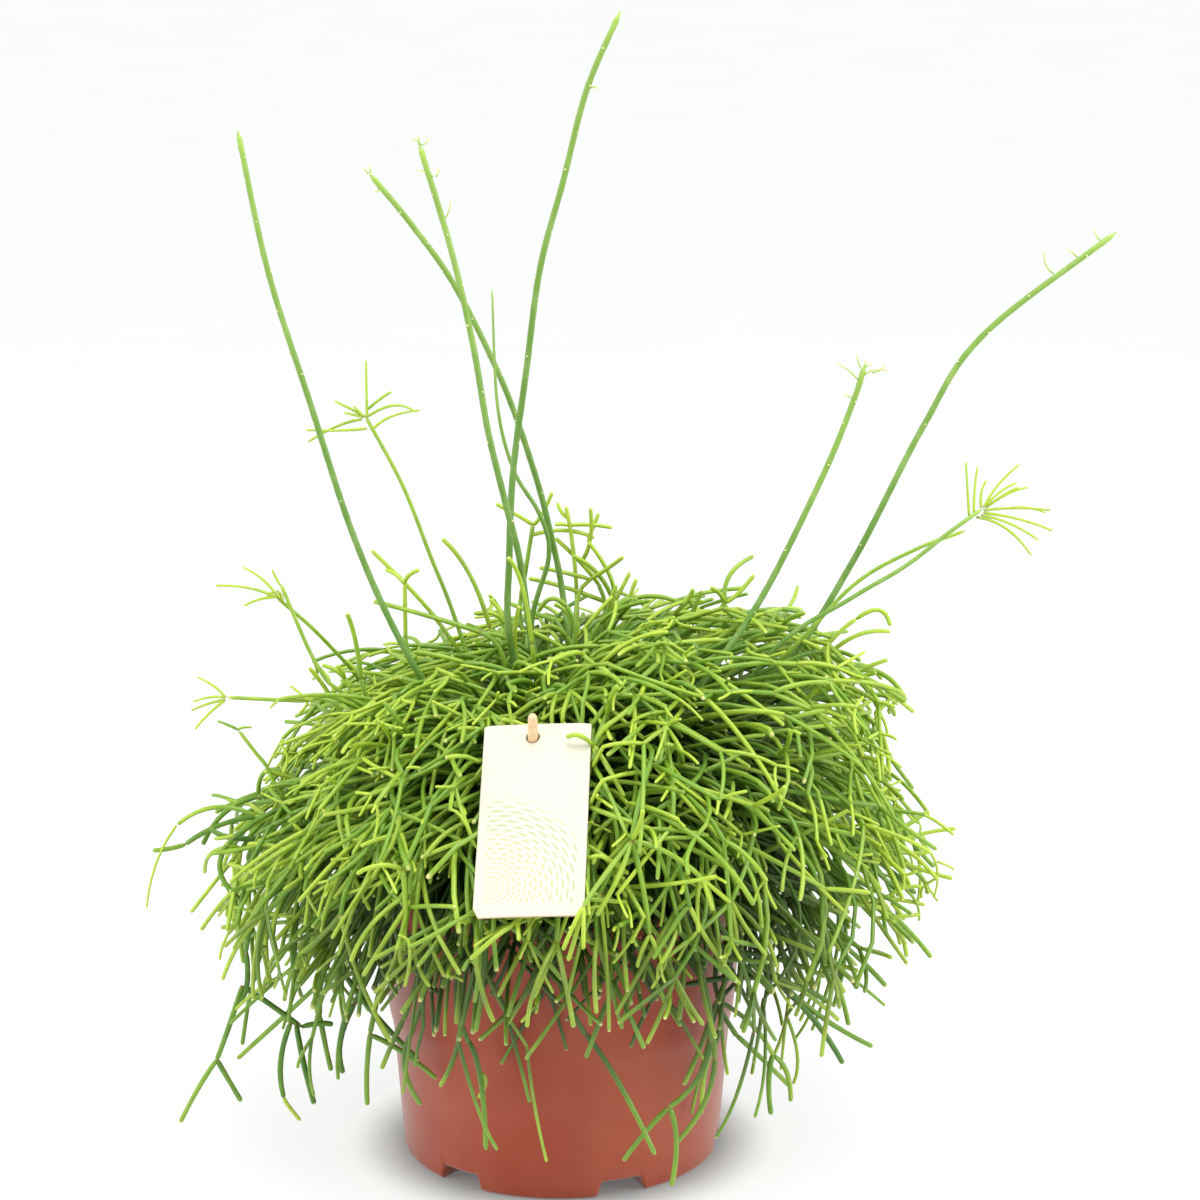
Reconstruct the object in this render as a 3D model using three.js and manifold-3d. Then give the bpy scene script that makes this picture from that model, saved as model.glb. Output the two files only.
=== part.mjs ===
/**
 * A mistletoe cactus in its plastic nursery pot, with a plant card on a wooden stick.
 *
 * Millimetres, +Z up. The origin is the centre of the pot's underside, the plant is seen from -Y,
 * and +X is to the right. Every mesh is one closed body, and neighbours keep a small gap.
 */

import * as THREE from 'three';
import { mergeVertices } from 'three/addons/utils/BufferGeometryUtils.js';
import Module from 'manifold-3d';

const wasm = await Module();
wasm.setup();

const GAP = 0.3;
const DEGREE = Math.PI / 180;
const GOLDEN_ANGLE = 137.50776 * DEGREE;

// Pot: a tapered wall with an outer band, a rim, and raised bays between its feet.
const POT_HEIGHT = 126;
const BASE_RADIUS = 71.2;
const BASE_ROUNDING = 2.2;
const WALL_SLOPE = 0.077;
const WALL = 1.8;
const FLOOR = 2.2;
const BAND_START = 58;
const BAND_PROUD = 1.3;
const RIM_DEPTH = 6;
const RIM_PROUD = 2.6;
const POT_SEGMENTS = 36;
const BAY_COUNT = 6;
const FIRST_BAY_ANGLE = 292.3 * DEGREE;
const BAY_HEIGHT = 7;
const BAY_FOOT_WIDTH = 23;
const BAY_ROOF_WIDTH = 18;
const BAY_INNER_RADIUS = 44;
const DRAIN_RADIUS = 4;
const DRAIN_PLACE = 58;

// Soil: a plug that fills the pot, slightly higher in the middle.
const SOIL_EDGE = 108;
const SOIL_MIDDLE = 112;
const HOLE_FLOOR = 78;

// Plant: a dome of stems round a heart above the soil, cut into one bunch in the middle and a ring
// of bunches about it.
const HEART_HEIGHT = 116;
const CROWN_REACH = 118;
const SIDE_REACH = 158;
const SHOULDER = 10;
const SKIRT_ANGLE = 102;
const FRONT_LIFT = 12;
const CORE_SHARE = 0.68;
const CORE_UNDERSIDE = 133;
const RING_BUNCHES = 12;
const MIDDLE_RADIUS = 44;
const STOCK_PLACE = 58;
const STOCK_RADIUS = 5.5;
const MIDDLE_STOCK_RADIUS = 9;
const STOCK_SIDES = 8;

// Stems: three generations from the core outwards, then the long bare canes.
const MAIN_COUNT = 37;
const PLAIN_COUNT = 114;
const MAIN_SHARE = 0.8;
const STEM_RADIUS = 1.9;
const TWIG_RADIUS = 1.65;
const RAY_RADIUS = 1.1;
const RAY_SPACING = 0.9;
const TUFT_COUNT = 6;
const CANE_RADIUS = 1.65;
const STEM_SIDES = 3;
const CANE_SIDES = 4;
const ROOT_PINCH = 0.75;
const CANE_SPAN = 19;

// Stick and card: the stick leans to the front, and the card hangs on it by a hole.
const STICK_RADIUS = 2.35;
const STICK_LEAN = 27 * DEGREE;
const STICK_FOOT_HEIGHT = 38;
const STICK_BEYOND_CARD = 12.5;
const STICK_TAPER = 12;
const STICK_TIP_RADIUS = 1.9;
const CARD_WIDTH = 44;
const CARD_HEIGHT = 88;
const CARD_THICKNESS = 0.8;
const CARD_CORNER = 1.2;
const CARD_TOP = new THREE.Vector3(-7.8, -94.6, 217.5);
const CARD_TILT = 45.8 * DEGREE;
const CARD_ROLL = -4.8 * DEGREE;
const CARD_YAW = -9.3 * DEGREE;
const CARD_HOLE_RADIUS = 2.95;
const CARD_HOLE_DROP = 6.2;
const CARD_HOLE_ACROSS = -1.8;

const POT_COLOUR = '#a5573f';
const SOIL_COLOUR = '#2e231b';
const STEM_COLOURS = ['#5d8f2c', '#6f9f34', '#4f8230'];
const CARD_COLOUR = '#e9e8d6';
const STICK_COLOUR = '#d9bd8a';

/** A repeatable number from 0 to 1 for one property of one stem. */
function draw(stem, property) {
  const value = Math.sin(stem * 12.9898 + property * 78.233) * 43758.5453;
  return value - Math.floor(value);
}

/** A repeatable number between two limits. */
function between(low, high, stem, property) {
  return low + (high - low) * draw(stem, property);
}

/** A point from its distance to the upright axis, its angle round it and its height. */
function polar(radius, angle, height) {
  return new THREE.Vector3(radius * Math.cos(angle), radius * Math.sin(angle), height);
}

/** Turns a closed three.js geometry into a solid that can be joined and cut. */
function toSolid(geometry) {
  geometry.deleteAttribute('normal');
  geometry.deleteAttribute('uv');
  const merged = mergeVertices(geometry, 1e-4);
  const corners = merged.index.array;
  const kept = [];
  for (let i = 0; i < corners.length; i += 3) {
    const [a, b, c] = [corners[i], corners[i + 1], corners[i + 2]];
    if (a !== b && b !== c && c !== a) {
      kept.push(a, b, c);
    }
  }
  return new wasm.Manifold(new wasm.Mesh({
    numProp: 3,
    vertProperties: merged.attributes.position.array,
    triVerts: Uint32Array.from(kept),
  }));
}

/** Turns a solid back into a three.js mesh with a plain matt material. */
function toMesh(name, solid, colour, roughness) {
  const { vertProperties, triVerts } = solid.getMesh();
  const geometry = new THREE.BufferGeometry();
  geometry.setAttribute('position', new THREE.BufferAttribute(vertProperties, 3));
  geometry.setIndex(new THREE.BufferAttribute(triVerts, 1));
  geometry.computeVertexNormals();
  const material = new THREE.MeshStandardMaterial({ color: colour, roughness, metalness: 0 });
  const mesh = new THREE.Mesh(geometry, material);
  mesh.name = name;
  return mesh;
}

/** A solid of revolution about the upright axis, from [radius, height] pairs. */
function turned(profile, segments) {
  const points = profile.map(([radius, height]) => new THREE.Vector2(radius, height));
  const geometry = new THREE.LatheGeometry(points, segments);
  return toSolid(geometry.rotateX(Math.PI / 2));
}

/** A round bar between two points, wider or narrower at its far end. */
function bar(from, to, radiusFrom, radiusTo, sides) {
  const along = new THREE.Vector3().subVectors(to, from);
  const geometry = new THREE.CylinderGeometry(radiusTo, radiusFrom, along.length(), sides);
  const up = new THREE.Vector3(0, 1, 0);
  const turn = new THREE.Quaternion().setFromUnitVectors(up, along.clone().normalize());
  const middle = new THREE.Vector3().addVectors(from, to).multiplyScalar(0.5);
  return toSolid(geometry.applyQuaternion(turn).translate(middle.x, middle.y, middle.z));
}

/**
 * A stem of even thickness along a curve, in straight pieces. A pinched root is drawn in to a
 * point-like end, which stays inside the stem that it grows from.
 */
function stemAlong(curve, radius, sides, steps, pinched = false) {
  const outline = new THREE.Shape();
  outline.moveTo(radius, 0);
  for (let i = 1; i < sides; i++) {
    const angle = 2 * Math.PI * i / sides;
    outline.lineTo(radius * Math.cos(angle), radius * Math.sin(angle));
  }
  outline.closePath();
  const geometry = new THREE.ExtrudeGeometry(outline, { steps, bevelEnabled: false, extrudePath: curve });
  const root = curve.getPoint(0);
  const corners = geometry.attributes.position;
  const corner = new THREE.Vector3();
  for (let i = 0; pinched && i < corners.count; i++) {
    corner.fromBufferAttribute(corners, i);
    if (corner.distanceTo(root) < radius * 1.05) {
      corner.lerp(root, ROOT_PINCH);
      corners.setXYZ(i, corner.x, corner.y, corner.z);
    }
  }
  return toSolid(geometry);
}

/** The pot wall's plain outer radius at a height. */
function wallRadius(height) {
  return BASE_RADIUS + WALL_SLOPE * height;
}

/** The raised bays between the feet, grown by a margin on their sides and roofs. */
function bays(margin) {
  const outline = new THREE.Shape();
  outline.moveTo(-BAY_FOOT_WIDTH / 2 - margin, -1);
  outline.lineTo(BAY_FOOT_WIDTH / 2 + margin, -1);
  outline.lineTo(BAY_ROOF_WIDTH / 2 + margin, BAY_HEIGHT + margin);
  outline.lineTo(-BAY_ROOF_WIDTH / 2 - margin, BAY_HEIGHT + margin);
  outline.closePath();
  const inner = BAY_INNER_RADIUS - margin;
  const solids = [];
  for (let i = 0; i < BAY_COUNT; i++) {
    const depth = BASE_RADIUS + 12 - inner;
    const geometry = new THREE.ExtrudeGeometry(outline, { depth, bevelEnabled: false });
    geometry.translate(0, 0, inner).rotateX(Math.PI / 2).rotateZ(Math.PI);
    geometry.rotateZ(FIRST_BAY_ANGLE - Math.PI / 2 + 2 * Math.PI * i / BAY_COUNT);
    solids.push(toSolid(geometry));
  }
  return solids.reduce((all, one) => all.add(one));
}

function makePot() {
  const bandTop = POT_HEIGHT - RIM_DEPTH;
  const rimRadius = wallRadius(POT_HEIGHT) + RIM_PROUD;
  const outer = turned([
    [0, 0],
    [wallRadius(0) - BASE_ROUNDING, 0],
    [wallRadius(BASE_ROUNDING), BASE_ROUNDING],
    [wallRadius(BAND_START), BAND_START],
    [wallRadius(BAND_START) + BAND_PROUD, BAND_START + 2],
    [wallRadius(bandTop) + BAND_PROUD, bandTop],
    [rimRadius, bandTop + 0.8],
    [rimRadius, POT_HEIGHT - 0.8],
    [rimRadius - 0.8, POT_HEIGHT],
    [0, POT_HEIGHT],
  ], POT_SEGMENTS);
  const cavity = turned([
    [0, FLOOR],
    [wallRadius(FLOOR) - WALL, FLOOR],
    [wallRadius(POT_HEIGHT) - WALL, POT_HEIGHT + 1],
    [0, POT_HEIGHT + 1],
  ], POT_SEGMENTS);
  let pot = outer.subtract(bays(0)).subtract(cavity.subtract(bays(FLOOR)));
  for (let i = 0; i < BAY_COUNT; i++) {
    const angle = FIRST_BAY_ANGLE + 2 * Math.PI * i / BAY_COUNT;
    const low = polar(DRAIN_PLACE, angle, BAY_HEIGHT - 2);
    const high = polar(DRAIN_PLACE, angle, BAY_HEIGHT + FLOOR + 2);
    pot = pot.subtract(bar(low, high, DRAIN_RADIUS, DRAIN_RADIUS, 12));
  }
  return pot;
}

/** The root stock of each bunch: where it stands and how thick it is. */
function stockOf(bunch) {
  if (bunch === 0) {
    return { foot: polar(0, 0, HOLE_FLOOR + GAP), radius: MIDDLE_STOCK_RADIUS };
  }
  const angle = 2 * Math.PI * (bunch - 0.5) / RING_BUNCHES;
  return { foot: polar(STOCK_PLACE, angle, HOLE_FLOOR + GAP), radius: STOCK_RADIUS };
}

const stickAlong = new THREE.Vector3(0, -Math.sin(STICK_LEAN), Math.cos(STICK_LEAN));

/** The card's own directions: across it, down it, and out of its face. */
const cardTurn = new THREE.Matrix4().makeRotationZ(CARD_YAW);
const cardDown = new THREE.Vector3(0, -Math.sin(CARD_TILT), -Math.cos(CARD_TILT));
const cardFace = new THREE.Vector3(0, -Math.cos(CARD_TILT), Math.sin(CARD_TILT));
const cardAcross = new THREE.Vector3(1, 0, 0);
cardAcross.applyAxisAngle(cardFace, -CARD_ROLL).applyMatrix4(cardTurn);
cardDown.applyAxisAngle(cardFace, -CARD_ROLL).applyMatrix4(cardTurn);
cardFace.applyMatrix4(cardTurn);
const cardHole = CARD_TOP.clone().addScaledVector(cardDown, CARD_HOLE_DROP);
cardHole.addScaledVector(cardAcross, CARD_HOLE_ACROSS);

/** The point of the stick's centre line at a height. */
function stickPoint(height) {
  return cardHole.clone().addScaledVector(stickAlong, (height - cardHole.z) / stickAlong.z);
}

const stickTip = cardHole.clone().addScaledVector(stickAlong, STICK_BEYOND_CARD);

function makeSoil() {
  const grown = GAP + WALL;
  let soil = turned([
    [0, FLOOR + GAP],
    [wallRadius(FLOOR) - grown, FLOOR + GAP],
    [wallRadius(SOIL_EDGE) - grown, SOIL_EDGE],
    [wallRadius(SOIL_EDGE) * 0.6, SOIL_EDGE + 3],
    [0, SOIL_MIDDLE],
  ], POT_SEGMENTS);
  soil = soil.subtract(bays(FLOOR + GAP));
  for (let bunch = 0; bunch <= RING_BUNCHES; bunch++) {
    const { foot, radius } = stockOf(bunch);
    const floor = foot.clone().setZ(HOLE_FLOOR);
    const above = foot.clone().setZ(SOIL_MIDDLE + 5);
    soil = soil.subtract(bar(floor, above, radius + GAP, radius + GAP, STOCK_SIDES));
  }
  const foot = stickPoint(STICK_FOOT_HEIGHT).addScaledVector(stickAlong, -GAP);
  const above = stickPoint(SOIL_MIDDLE + 8);
  return soil.subtract(bar(foot, above, STICK_RADIUS + GAP, STICK_RADIUS + GAP, 12));
}

function makeStick() {
  const length = stickTip.distanceTo(stickPoint(STICK_FOOT_HEIGHT));
  const profile = [new THREE.Vector2(0, 0), new THREE.Vector2(STICK_RADIUS * 0.8, 0)];
  profile.push(new THREE.Vector2(STICK_RADIUS, 4), new THREE.Vector2(STICK_RADIUS, length - STICK_TAPER));
  const roundSteps = 3;
  for (let i = 0; i <= roundSteps; i++) {
    const angle = Math.PI / 2 * i / roundSteps;
    const radius = i === roundSteps ? 0 : STICK_TIP_RADIUS * Math.cos(angle);
    profile.push(new THREE.Vector2(radius, length - STICK_TIP_RADIUS * (1 - Math.sin(angle))));
  }
  const geometry = new THREE.LatheGeometry(profile, 10);
  const turn = new THREE.Quaternion().setFromUnitVectors(new THREE.Vector3(0, 1, 0), stickAlong);
  const foot = stickPoint(STICK_FOOT_HEIGHT);
  return toSolid(geometry.applyQuaternion(turn).translate(foot.x, foot.y, foot.z));
}

function makeCard() {
  const half = CARD_WIDTH / 2;
  const low = -CARD_HEIGHT + CARD_CORNER;
  const outline = new THREE.Shape();
  outline.absarc(half - CARD_CORNER, -CARD_CORNER, CARD_CORNER, 0, Math.PI / 2);
  outline.absarc(CARD_CORNER - half, -CARD_CORNER, CARD_CORNER, Math.PI / 2, Math.PI);
  outline.absarc(CARD_CORNER - half, low, CARD_CORNER, Math.PI, Math.PI * 1.5);
  outline.absarc(half - CARD_CORNER, low, CARD_CORNER, Math.PI * 1.5, Math.PI * 2);
  const hole = new THREE.Path();
  hole.absarc(CARD_HOLE_ACROSS, -CARD_HOLE_DROP, CARD_HOLE_RADIUS, 0, Math.PI * 2, true);
  outline.holes.push(hole);
  const options = { depth: CARD_THICKNESS, bevelEnabled: false, curveSegments: 4 };
  const geometry = new THREE.ExtrudeGeometry(outline, options).translate(0, 0, -CARD_THICKNESS / 2);
  const place = new THREE.Matrix4().makeBasis(cardAcross, cardDown.clone().negate(), cardFace);
  place.setPosition(CARD_TOP);
  return toSolid(geometry.applyMatrix4(place));
}

/** How far the dome of stems reaches from its heart, in a direction. */
function domeReach(fromTop, angle) {
  const side = Math.sin(fromTop) ** 2;
  const shoulder = SHOULDER * Math.max(0, Math.sin(2 * fromTop)) * Math.cos(angle);
  return CROWN_REACH + (SIDE_REACH - CROWN_REACH) * side + shoulder;
}

/** The lowest direction that stems take, lifted where the skirt is short at the front. */
function skirtAngle(angle) {
  const front = Math.max(0, -Math.sin(angle));
  return (SKIRT_ANGLE - FRONT_LIFT * front ** 2) * DEGREE;
}

/** The unit direction from the heart. */
function outwards(fromTop, angle) {
  return polar(Math.sin(fromTop), angle, Math.cos(fromTop));
}

/** The point at a share of the dome's reach. */
function inDome(share, fromTop, angle) {
  const point = outwards(fromTop, angle).multiplyScalar(share * domeReach(fromTop, angle));
  return point.setZ(point.z + HEART_HEIGHT);
}

/** Which bunch a point belongs to: 0 in the middle, then counted round the ring. */
function bunchAt(point) {
  if (Math.hypot(point.x, point.y) < MIDDLE_RADIUS) {
    return 0;
  }
  const angle = (Math.atan2(point.y, point.x) + 2 * Math.PI) % (2 * Math.PI);
  return 1 + Math.floor(angle / (2 * Math.PI) * RING_BUNCHES) % RING_BUNCHES;
}

/** Turns a value that lies past a limit back by as much, to no less than nothing. */
function fold(value, limit) {
  return value > limit ? Math.max(0, 2 * limit - value) : value;
}

/** Turns a point back into its own bunch, a margin away from the neighbours. */
function keepInBunch(point, bunch, margin) {
  const radius = Math.hypot(point.x, point.y);
  if (bunch === 0) {
    const scale = fold(radius, MIDDLE_RADIUS - margin) / Math.max(radius, 1);
    point.set(point.x * scale, point.y * scale, point.z);
    return point;
  }
  const middle = 2 * Math.PI * (bunch - 0.5) / RING_BUNCHES;
  const safe = Math.max(radius, MIDDLE_RADIUS + margin + 1);
  const widest = Math.PI / RING_BUNCHES - Math.asin(margin / safe);
  const turn = Math.atan2(point.y, point.x) - middle;
  const wrapped = Math.atan2(Math.sin(turn), Math.cos(turn));
  const kept = Math.sign(wrapped) * fold(Math.abs(wrapped), widest);
  point.copy(polar(safe, middle + kept, point.z));
  return point;
}

/** Presses a point that would come through the card down behind it. */
function keepBehindCard(point) {
  const place = new THREE.Vector3().subVectors(point, CARD_TOP);
  const across = Math.abs(place.dot(cardAcross));
  const down = place.dot(cardDown);
  const front = place.dot(cardFace);
  const near = 12;
  const behind = -STEM_RADIUS - 1;
  if (across < CARD_WIDTH / 2 + near && down > -near && down < CARD_HEIGHT + near && front > behind) {
    point.addScaledVector(cardFace, behind - front);
  }
  return point;
}

/** Keeps a stem's point inside the dome, outside the pot, behind the card and in its bunch. */
function settle(point, bunch) {
  const fromHeart = point.clone().setZ(point.z - HEART_HEIGHT);
  const fromTop = Math.acos(THREE.MathUtils.clamp(fromHeart.z / fromHeart.length(), -1, 1));
  const angle = Math.atan2(point.y, point.x);
  const most = domeReach(fromTop, angle) * 1.04;
  if (fromHeart.length() > most) {
    fromHeart.setLength(most);
    point.copy(fromHeart).setZ(fromHeart.z + HEART_HEIGHT);
  }
  const clearOfRim = wallRadius(POT_HEIGHT) + RIM_PROUD + STEM_RADIUS + 4;
  if (point.z < POT_HEIGHT + 10 && Math.hypot(point.x, point.y) < clearOfRim) {
    point.copy(polar(clearOfRim, angle, point.z));
  }
  return keepInBunch(keepBehindCard(point), bunch, STEM_RADIUS + GAP);
}

/** Whether a stem keeps clear of the stick. */
function clearOfStick(curve) {
  const stick = new THREE.Line3(stickPoint(STICK_FOOT_HEIGHT), stickTip);
  const clearance = STICK_RADIUS + STEM_RADIUS + 1;
  const nearest = new THREE.Vector3();
  return curve.getPoints(20).every((point) => {
    stick.closestPointToPoint(point, true, nearest);
    return nearest.distanceTo(point) > clearance;
  });
}

/** A direction that leaves another by an opening angle, at a turn round it, and then droops. */
function deflect(along, open, turn, droop, joint) {
  const side = new THREE.Vector3(0.1, 0, 1).cross(along).normalize();
  const other = new THREE.Vector3().crossVectors(along, side);
  const next = along.clone().multiplyScalar(Math.cos(open));
  next.addScaledVector(side, Math.sin(open) * Math.cos(turn));
  next.addScaledVector(other, Math.sin(open) * Math.sin(turn));
  next.z -= droop;
  const out = joint.clone().setZ(joint.z - HEART_HEIGHT).normalize();
  next.addScaledVector(out, Math.max(0, 0.35 - next.dot(out)));
  return next.normalize();
}

/** The joints of a chain of segments, each of which turns off a little from the last. */
function chainFrom(stem, joint, along, lengths, bunch) {
  const joints = [];
  let place = joint;
  let direction = along;
  lengths.forEach((length, i) => {
    const reach = length * between(0.8, 1.2, stem, 10 + i);
    place = settle(place.clone().addScaledVector(direction, reach), bunch);
    joints.push(place);
    const open = between(12, 38, stem, 20 + i) * DEGREE;
    direction = deflect(direction, open, between(0, 2 * Math.PI, stem, 30 + i), 0.2, place);
  });
  return joints;
}

/** The middle of one straight piece of a stem, and the direction of that piece. */
function middleOfPiece(curve, steps, piece) {
  const from = curve.getPointAt(piece / steps);
  const to = curve.getPointAt((piece + 1) / steps);
  const along = new THREE.Vector3().subVectors(to, from).normalize();
  return { place: from.lerp(to, 0.5), along };
}

/** Joins a stem to its bunch, unless it would run into the stick. */
function join(bunches, bunch, curve, radius, steps, pinched) {
  if (!clearOfStick(curve)) {
    return false;
  }
  bunches[bunch] = bunches[bunch].add(stemAlong(curve, radius, STEM_SIDES, steps, pinched));
  return true;
}

/** A short straight twig from the middle of one piece of a stem. */
function addTwig(bunches, bunch, stem, curve, steps, piece) {
  const { place, along } = middleOfPiece(curve, steps, piece);
  const open = between(35, 60, stem, 1) * DEGREE;
  const direction = deflect(along, open, between(0, 2 * Math.PI, stem, 2), 0.15, place);
  const length = between(17, 28, stem, 3);
  const tip = settle(place.clone().addScaledVector(direction, length), bunch);
  join(bunches, bunch, new THREE.LineCurve3(place, tip), TWIG_RADIUS, 1, true);
}

/** A side branch of two segments, with a twig of its own on most. */
function addBranch(bunches, bunch, stem, curve, steps, piece) {
  const { place, along } = middleOfPiece(curve, steps, piece);
  const open = between(40, 65, stem, 1) * DEGREE;
  const direction = deflect(along, open, between(0, 2 * Math.PI, stem, 2), 0.25, place);
  const joints = chainFrom(stem, place, direction, [34, 22], bunch);
  const branch = new THREE.CatmullRomCurve3([place, ...joints]);
  const branchSteps = 3;
  if (join(bunches, bunch, branch, TWIG_RADIUS, branchSteps, true) && draw(stem, 5) < 0.75) {
    addTwig(bunches, bunch, stem * 10 + 7, branch, branchSteps, 1);
  }
}

/** The way that stems flow at a joint: outwards and down the dome. */
function flowAt(joint) {
  const out = joint.clone().setZ(joint.z - HEART_HEIGHT).normalize();
  const level = Math.max(Math.hypot(out.x, out.y), 0.05);
  const downhill = new THREE.Vector3(out.x * out.z / level, out.y * out.z / level, -level);
  return out.multiplyScalar(0.55).addScaledVector(downhill, 0.75).normalize();
}

/** The even main stems of the dome: each runs out from the core in a chain and branches. */
function addMainStems(bunches) {
  for (let stem = 0; stem < MAIN_COUNT; stem++) {
    const angle = stem * GOLDEN_ANGLE;
    const covered = (stem + 0.5) / MAIN_COUNT * (1 - Math.cos(skirtAngle(angle)));
    const fromTop = Math.acos(1 - covered);
    const share = MAIN_SHARE + between(-0.05, 0.05, stem, 1);
    const joint = inDome(share, fromTop, angle);
    const bunch = bunchAt(joint);
    const rootFromTop = Math.min(fromTop * 0.85, 66 * DEGREE);
    const root = inDome(CORE_SHARE * 0.85, rootFromTop, angle);
    const margin = STEM_RADIUS + GAP;
    [root, joint].forEach((point) => keepInBunch(point, bunch, margin));
    const start = deflect(flowAt(joint), 28 * DEGREE, between(0, 2 * Math.PI, stem, 2), 0, joint);
    const joints = chainFrom(stem, joint, start, [34, 22], bunch);
    const overRim = inDome(CORE_SHARE * 1.12, 73 * DEGREE, angle);
    const hangs = fromTop > 80 * DEGREE;
    const way = hangs ? [root, keepInBunch(overRim, bunch, margin), joint] : [root, joint];
    const trunk = new THREE.CatmullRomCurve3([...way, ...joints]);
    const steps = 5;
    if (join(bunches, bunch, trunk, STEM_RADIUS, steps, false)) {
      addBranch(bunches, bunch, 1000 + stem, trunk, steps, 2);
      addBranch(bunches, bunch, 2000 + stem, trunk, steps, 1);
      addTwig(bunches, bunch, 3000 + stem, trunk, steps, 3);
    }
  }
}

/** Plain stems between the branching ones, evenly over the dome: each arches out of the core. */
function addPlainStems(bunches) {
  for (let stem = 0; stem < PLAIN_COUNT; stem++) {
    const draws = 5000 + stem;
    const angle = (stem + 0.5) * GOLDEN_ANGLE;
    const covered = (stem + 0.5) / PLAIN_COUNT * (1 - Math.cos(skirtAngle(angle)));
    const fromTop = Math.acos(1 - covered);
    const aside = between(-14, 14, draws, 1) * DEGREE;
    const lower = fromTop + between(10, 24, draws, 2) * DEGREE;
    const bend = keepBehindCard(inDome(0.86, fromTop + 5 * DEGREE, angle + aside * 0.4));
    const bunch = bunchAt(bend);
    const root = inDome(CORE_SHARE * 0.85, Math.min(fromTop * 0.9, 66 * DEGREE), angle);
    const tip = settle(inDome(between(0.92, 1.04, draws, 3), lower, angle + aside), bunch);
    const margin = STEM_RADIUS + GAP;
    const points = [keepInBunch(root, bunch, margin), keepInBunch(bend, bunch, margin), tip];
    join(bunches, bunch, new THREE.CatmullRomCurve3(points), STEM_RADIUS, 2, false);
  }
}

/** The upright tuft behind the middle of the dome. */
function addTuft(bunches) {
  for (let i = 0; i < TUFT_COUNT; i++) {
    const stem = 500 + i;
    const angle = between(10, 170, stem, 1) * DEGREE;
    const root = inDome(CORE_SHARE * 0.85, 12 * DEGREE, angle);
    const tip = polar(between(14, 36, stem, 2), angle, between(248, 272, stem, 3));
    const bend = root.clone().lerp(tip, 0.6).setZ(root.z + 50);
    const points = [root, bend, tip].map((point) => keepInBunch(point, 0, STEM_RADIUS + GAP));
    const curve = new THREE.CatmullRomCurve3(points);
    bunches[0] = bunches[0].add(stemAlong(curve, TWIG_RADIUS, STEM_SIDES, 3));
    addRays(bunches, 0, stem, curve, { rays: 2, length: 20, radius: TWIG_RADIUS });
  }
}

/** A burst of short straight stems round the end of a cane. */
function addRays(bunches, bunch, stem, curve, { rays, length, radius }) {
  const tip = curve.getPoint(1);
  const along = curve.getTangent(1);
  for (let i = 0; i < rays; i++) {
    const root = tip.clone().addScaledVector(along, -RAY_SPACING * (i + 0.7));
    const open = between(25, 65, stem, 40 + i) * DEGREE;
    const out = deflect(along, open, i * GOLDEN_ANGLE, 0, tip);
    const end = root.clone().addScaledVector(out, length * between(0.75, 1.15, stem, 50 + i));
    const ray = new THREE.LineCurve3(root, end);
    bunches[bunch] = bunches[bunch].add(stemAlong(ray, radius, STEM_SIDES, 1, true));
  }
}

/**
 * The long canes above the dome and the stray stems below it, by hand: the angle in degrees where
 * each leaves the core, how far from the top it leaves, then the points that it passes.
 */
const CANES = [
  { leave: [197, 42], through: [[-67, -20, 232], [-88, -15, 279], [-107, -10, 339], [-124, -5, 394],
    [-136, 0, 453]], rays: 0 },
  { leave: [60, 14], through: [[1, 34, 242], [-12, 26, 303], [-25, 20, 342], [-45, 12, 385],
    [-81, 0, 435]], rays: 2 },
  { leave: [235, 10], through: [[-13, -14, 239], [-23, -26, 298], [-30, -26, 328], [-45, -22, 404],
    [-58, -20, 448]], rays: 3 },
  { leave: [190, 12], through: [[-22, -6, 233], [-20, -6, 308], [-14, -8, 352], [2, -16, 432],
    [26, -26, 502]], rays: 0 },
  { leave: [160, 8], through: [[-13, 8, 234], [-5, 6, 268], [-20, 4, 306], [-27, 4, 335],
    [-29, 4, 386]], rays: 0 },
  { leave: [333, 38], through: [[60, -30, 218], [86, -20, 253], [112, -12, 304], [126, -5, 337],
    [131, -5, 354]], rays: 5 },
  { leave: [353, 45], through: [[98, -12, 224], [127, -10, 269], [156, -8, 327], [181, -5, 366],
    [238, 0, 410]], rays: 0 },
];

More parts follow.
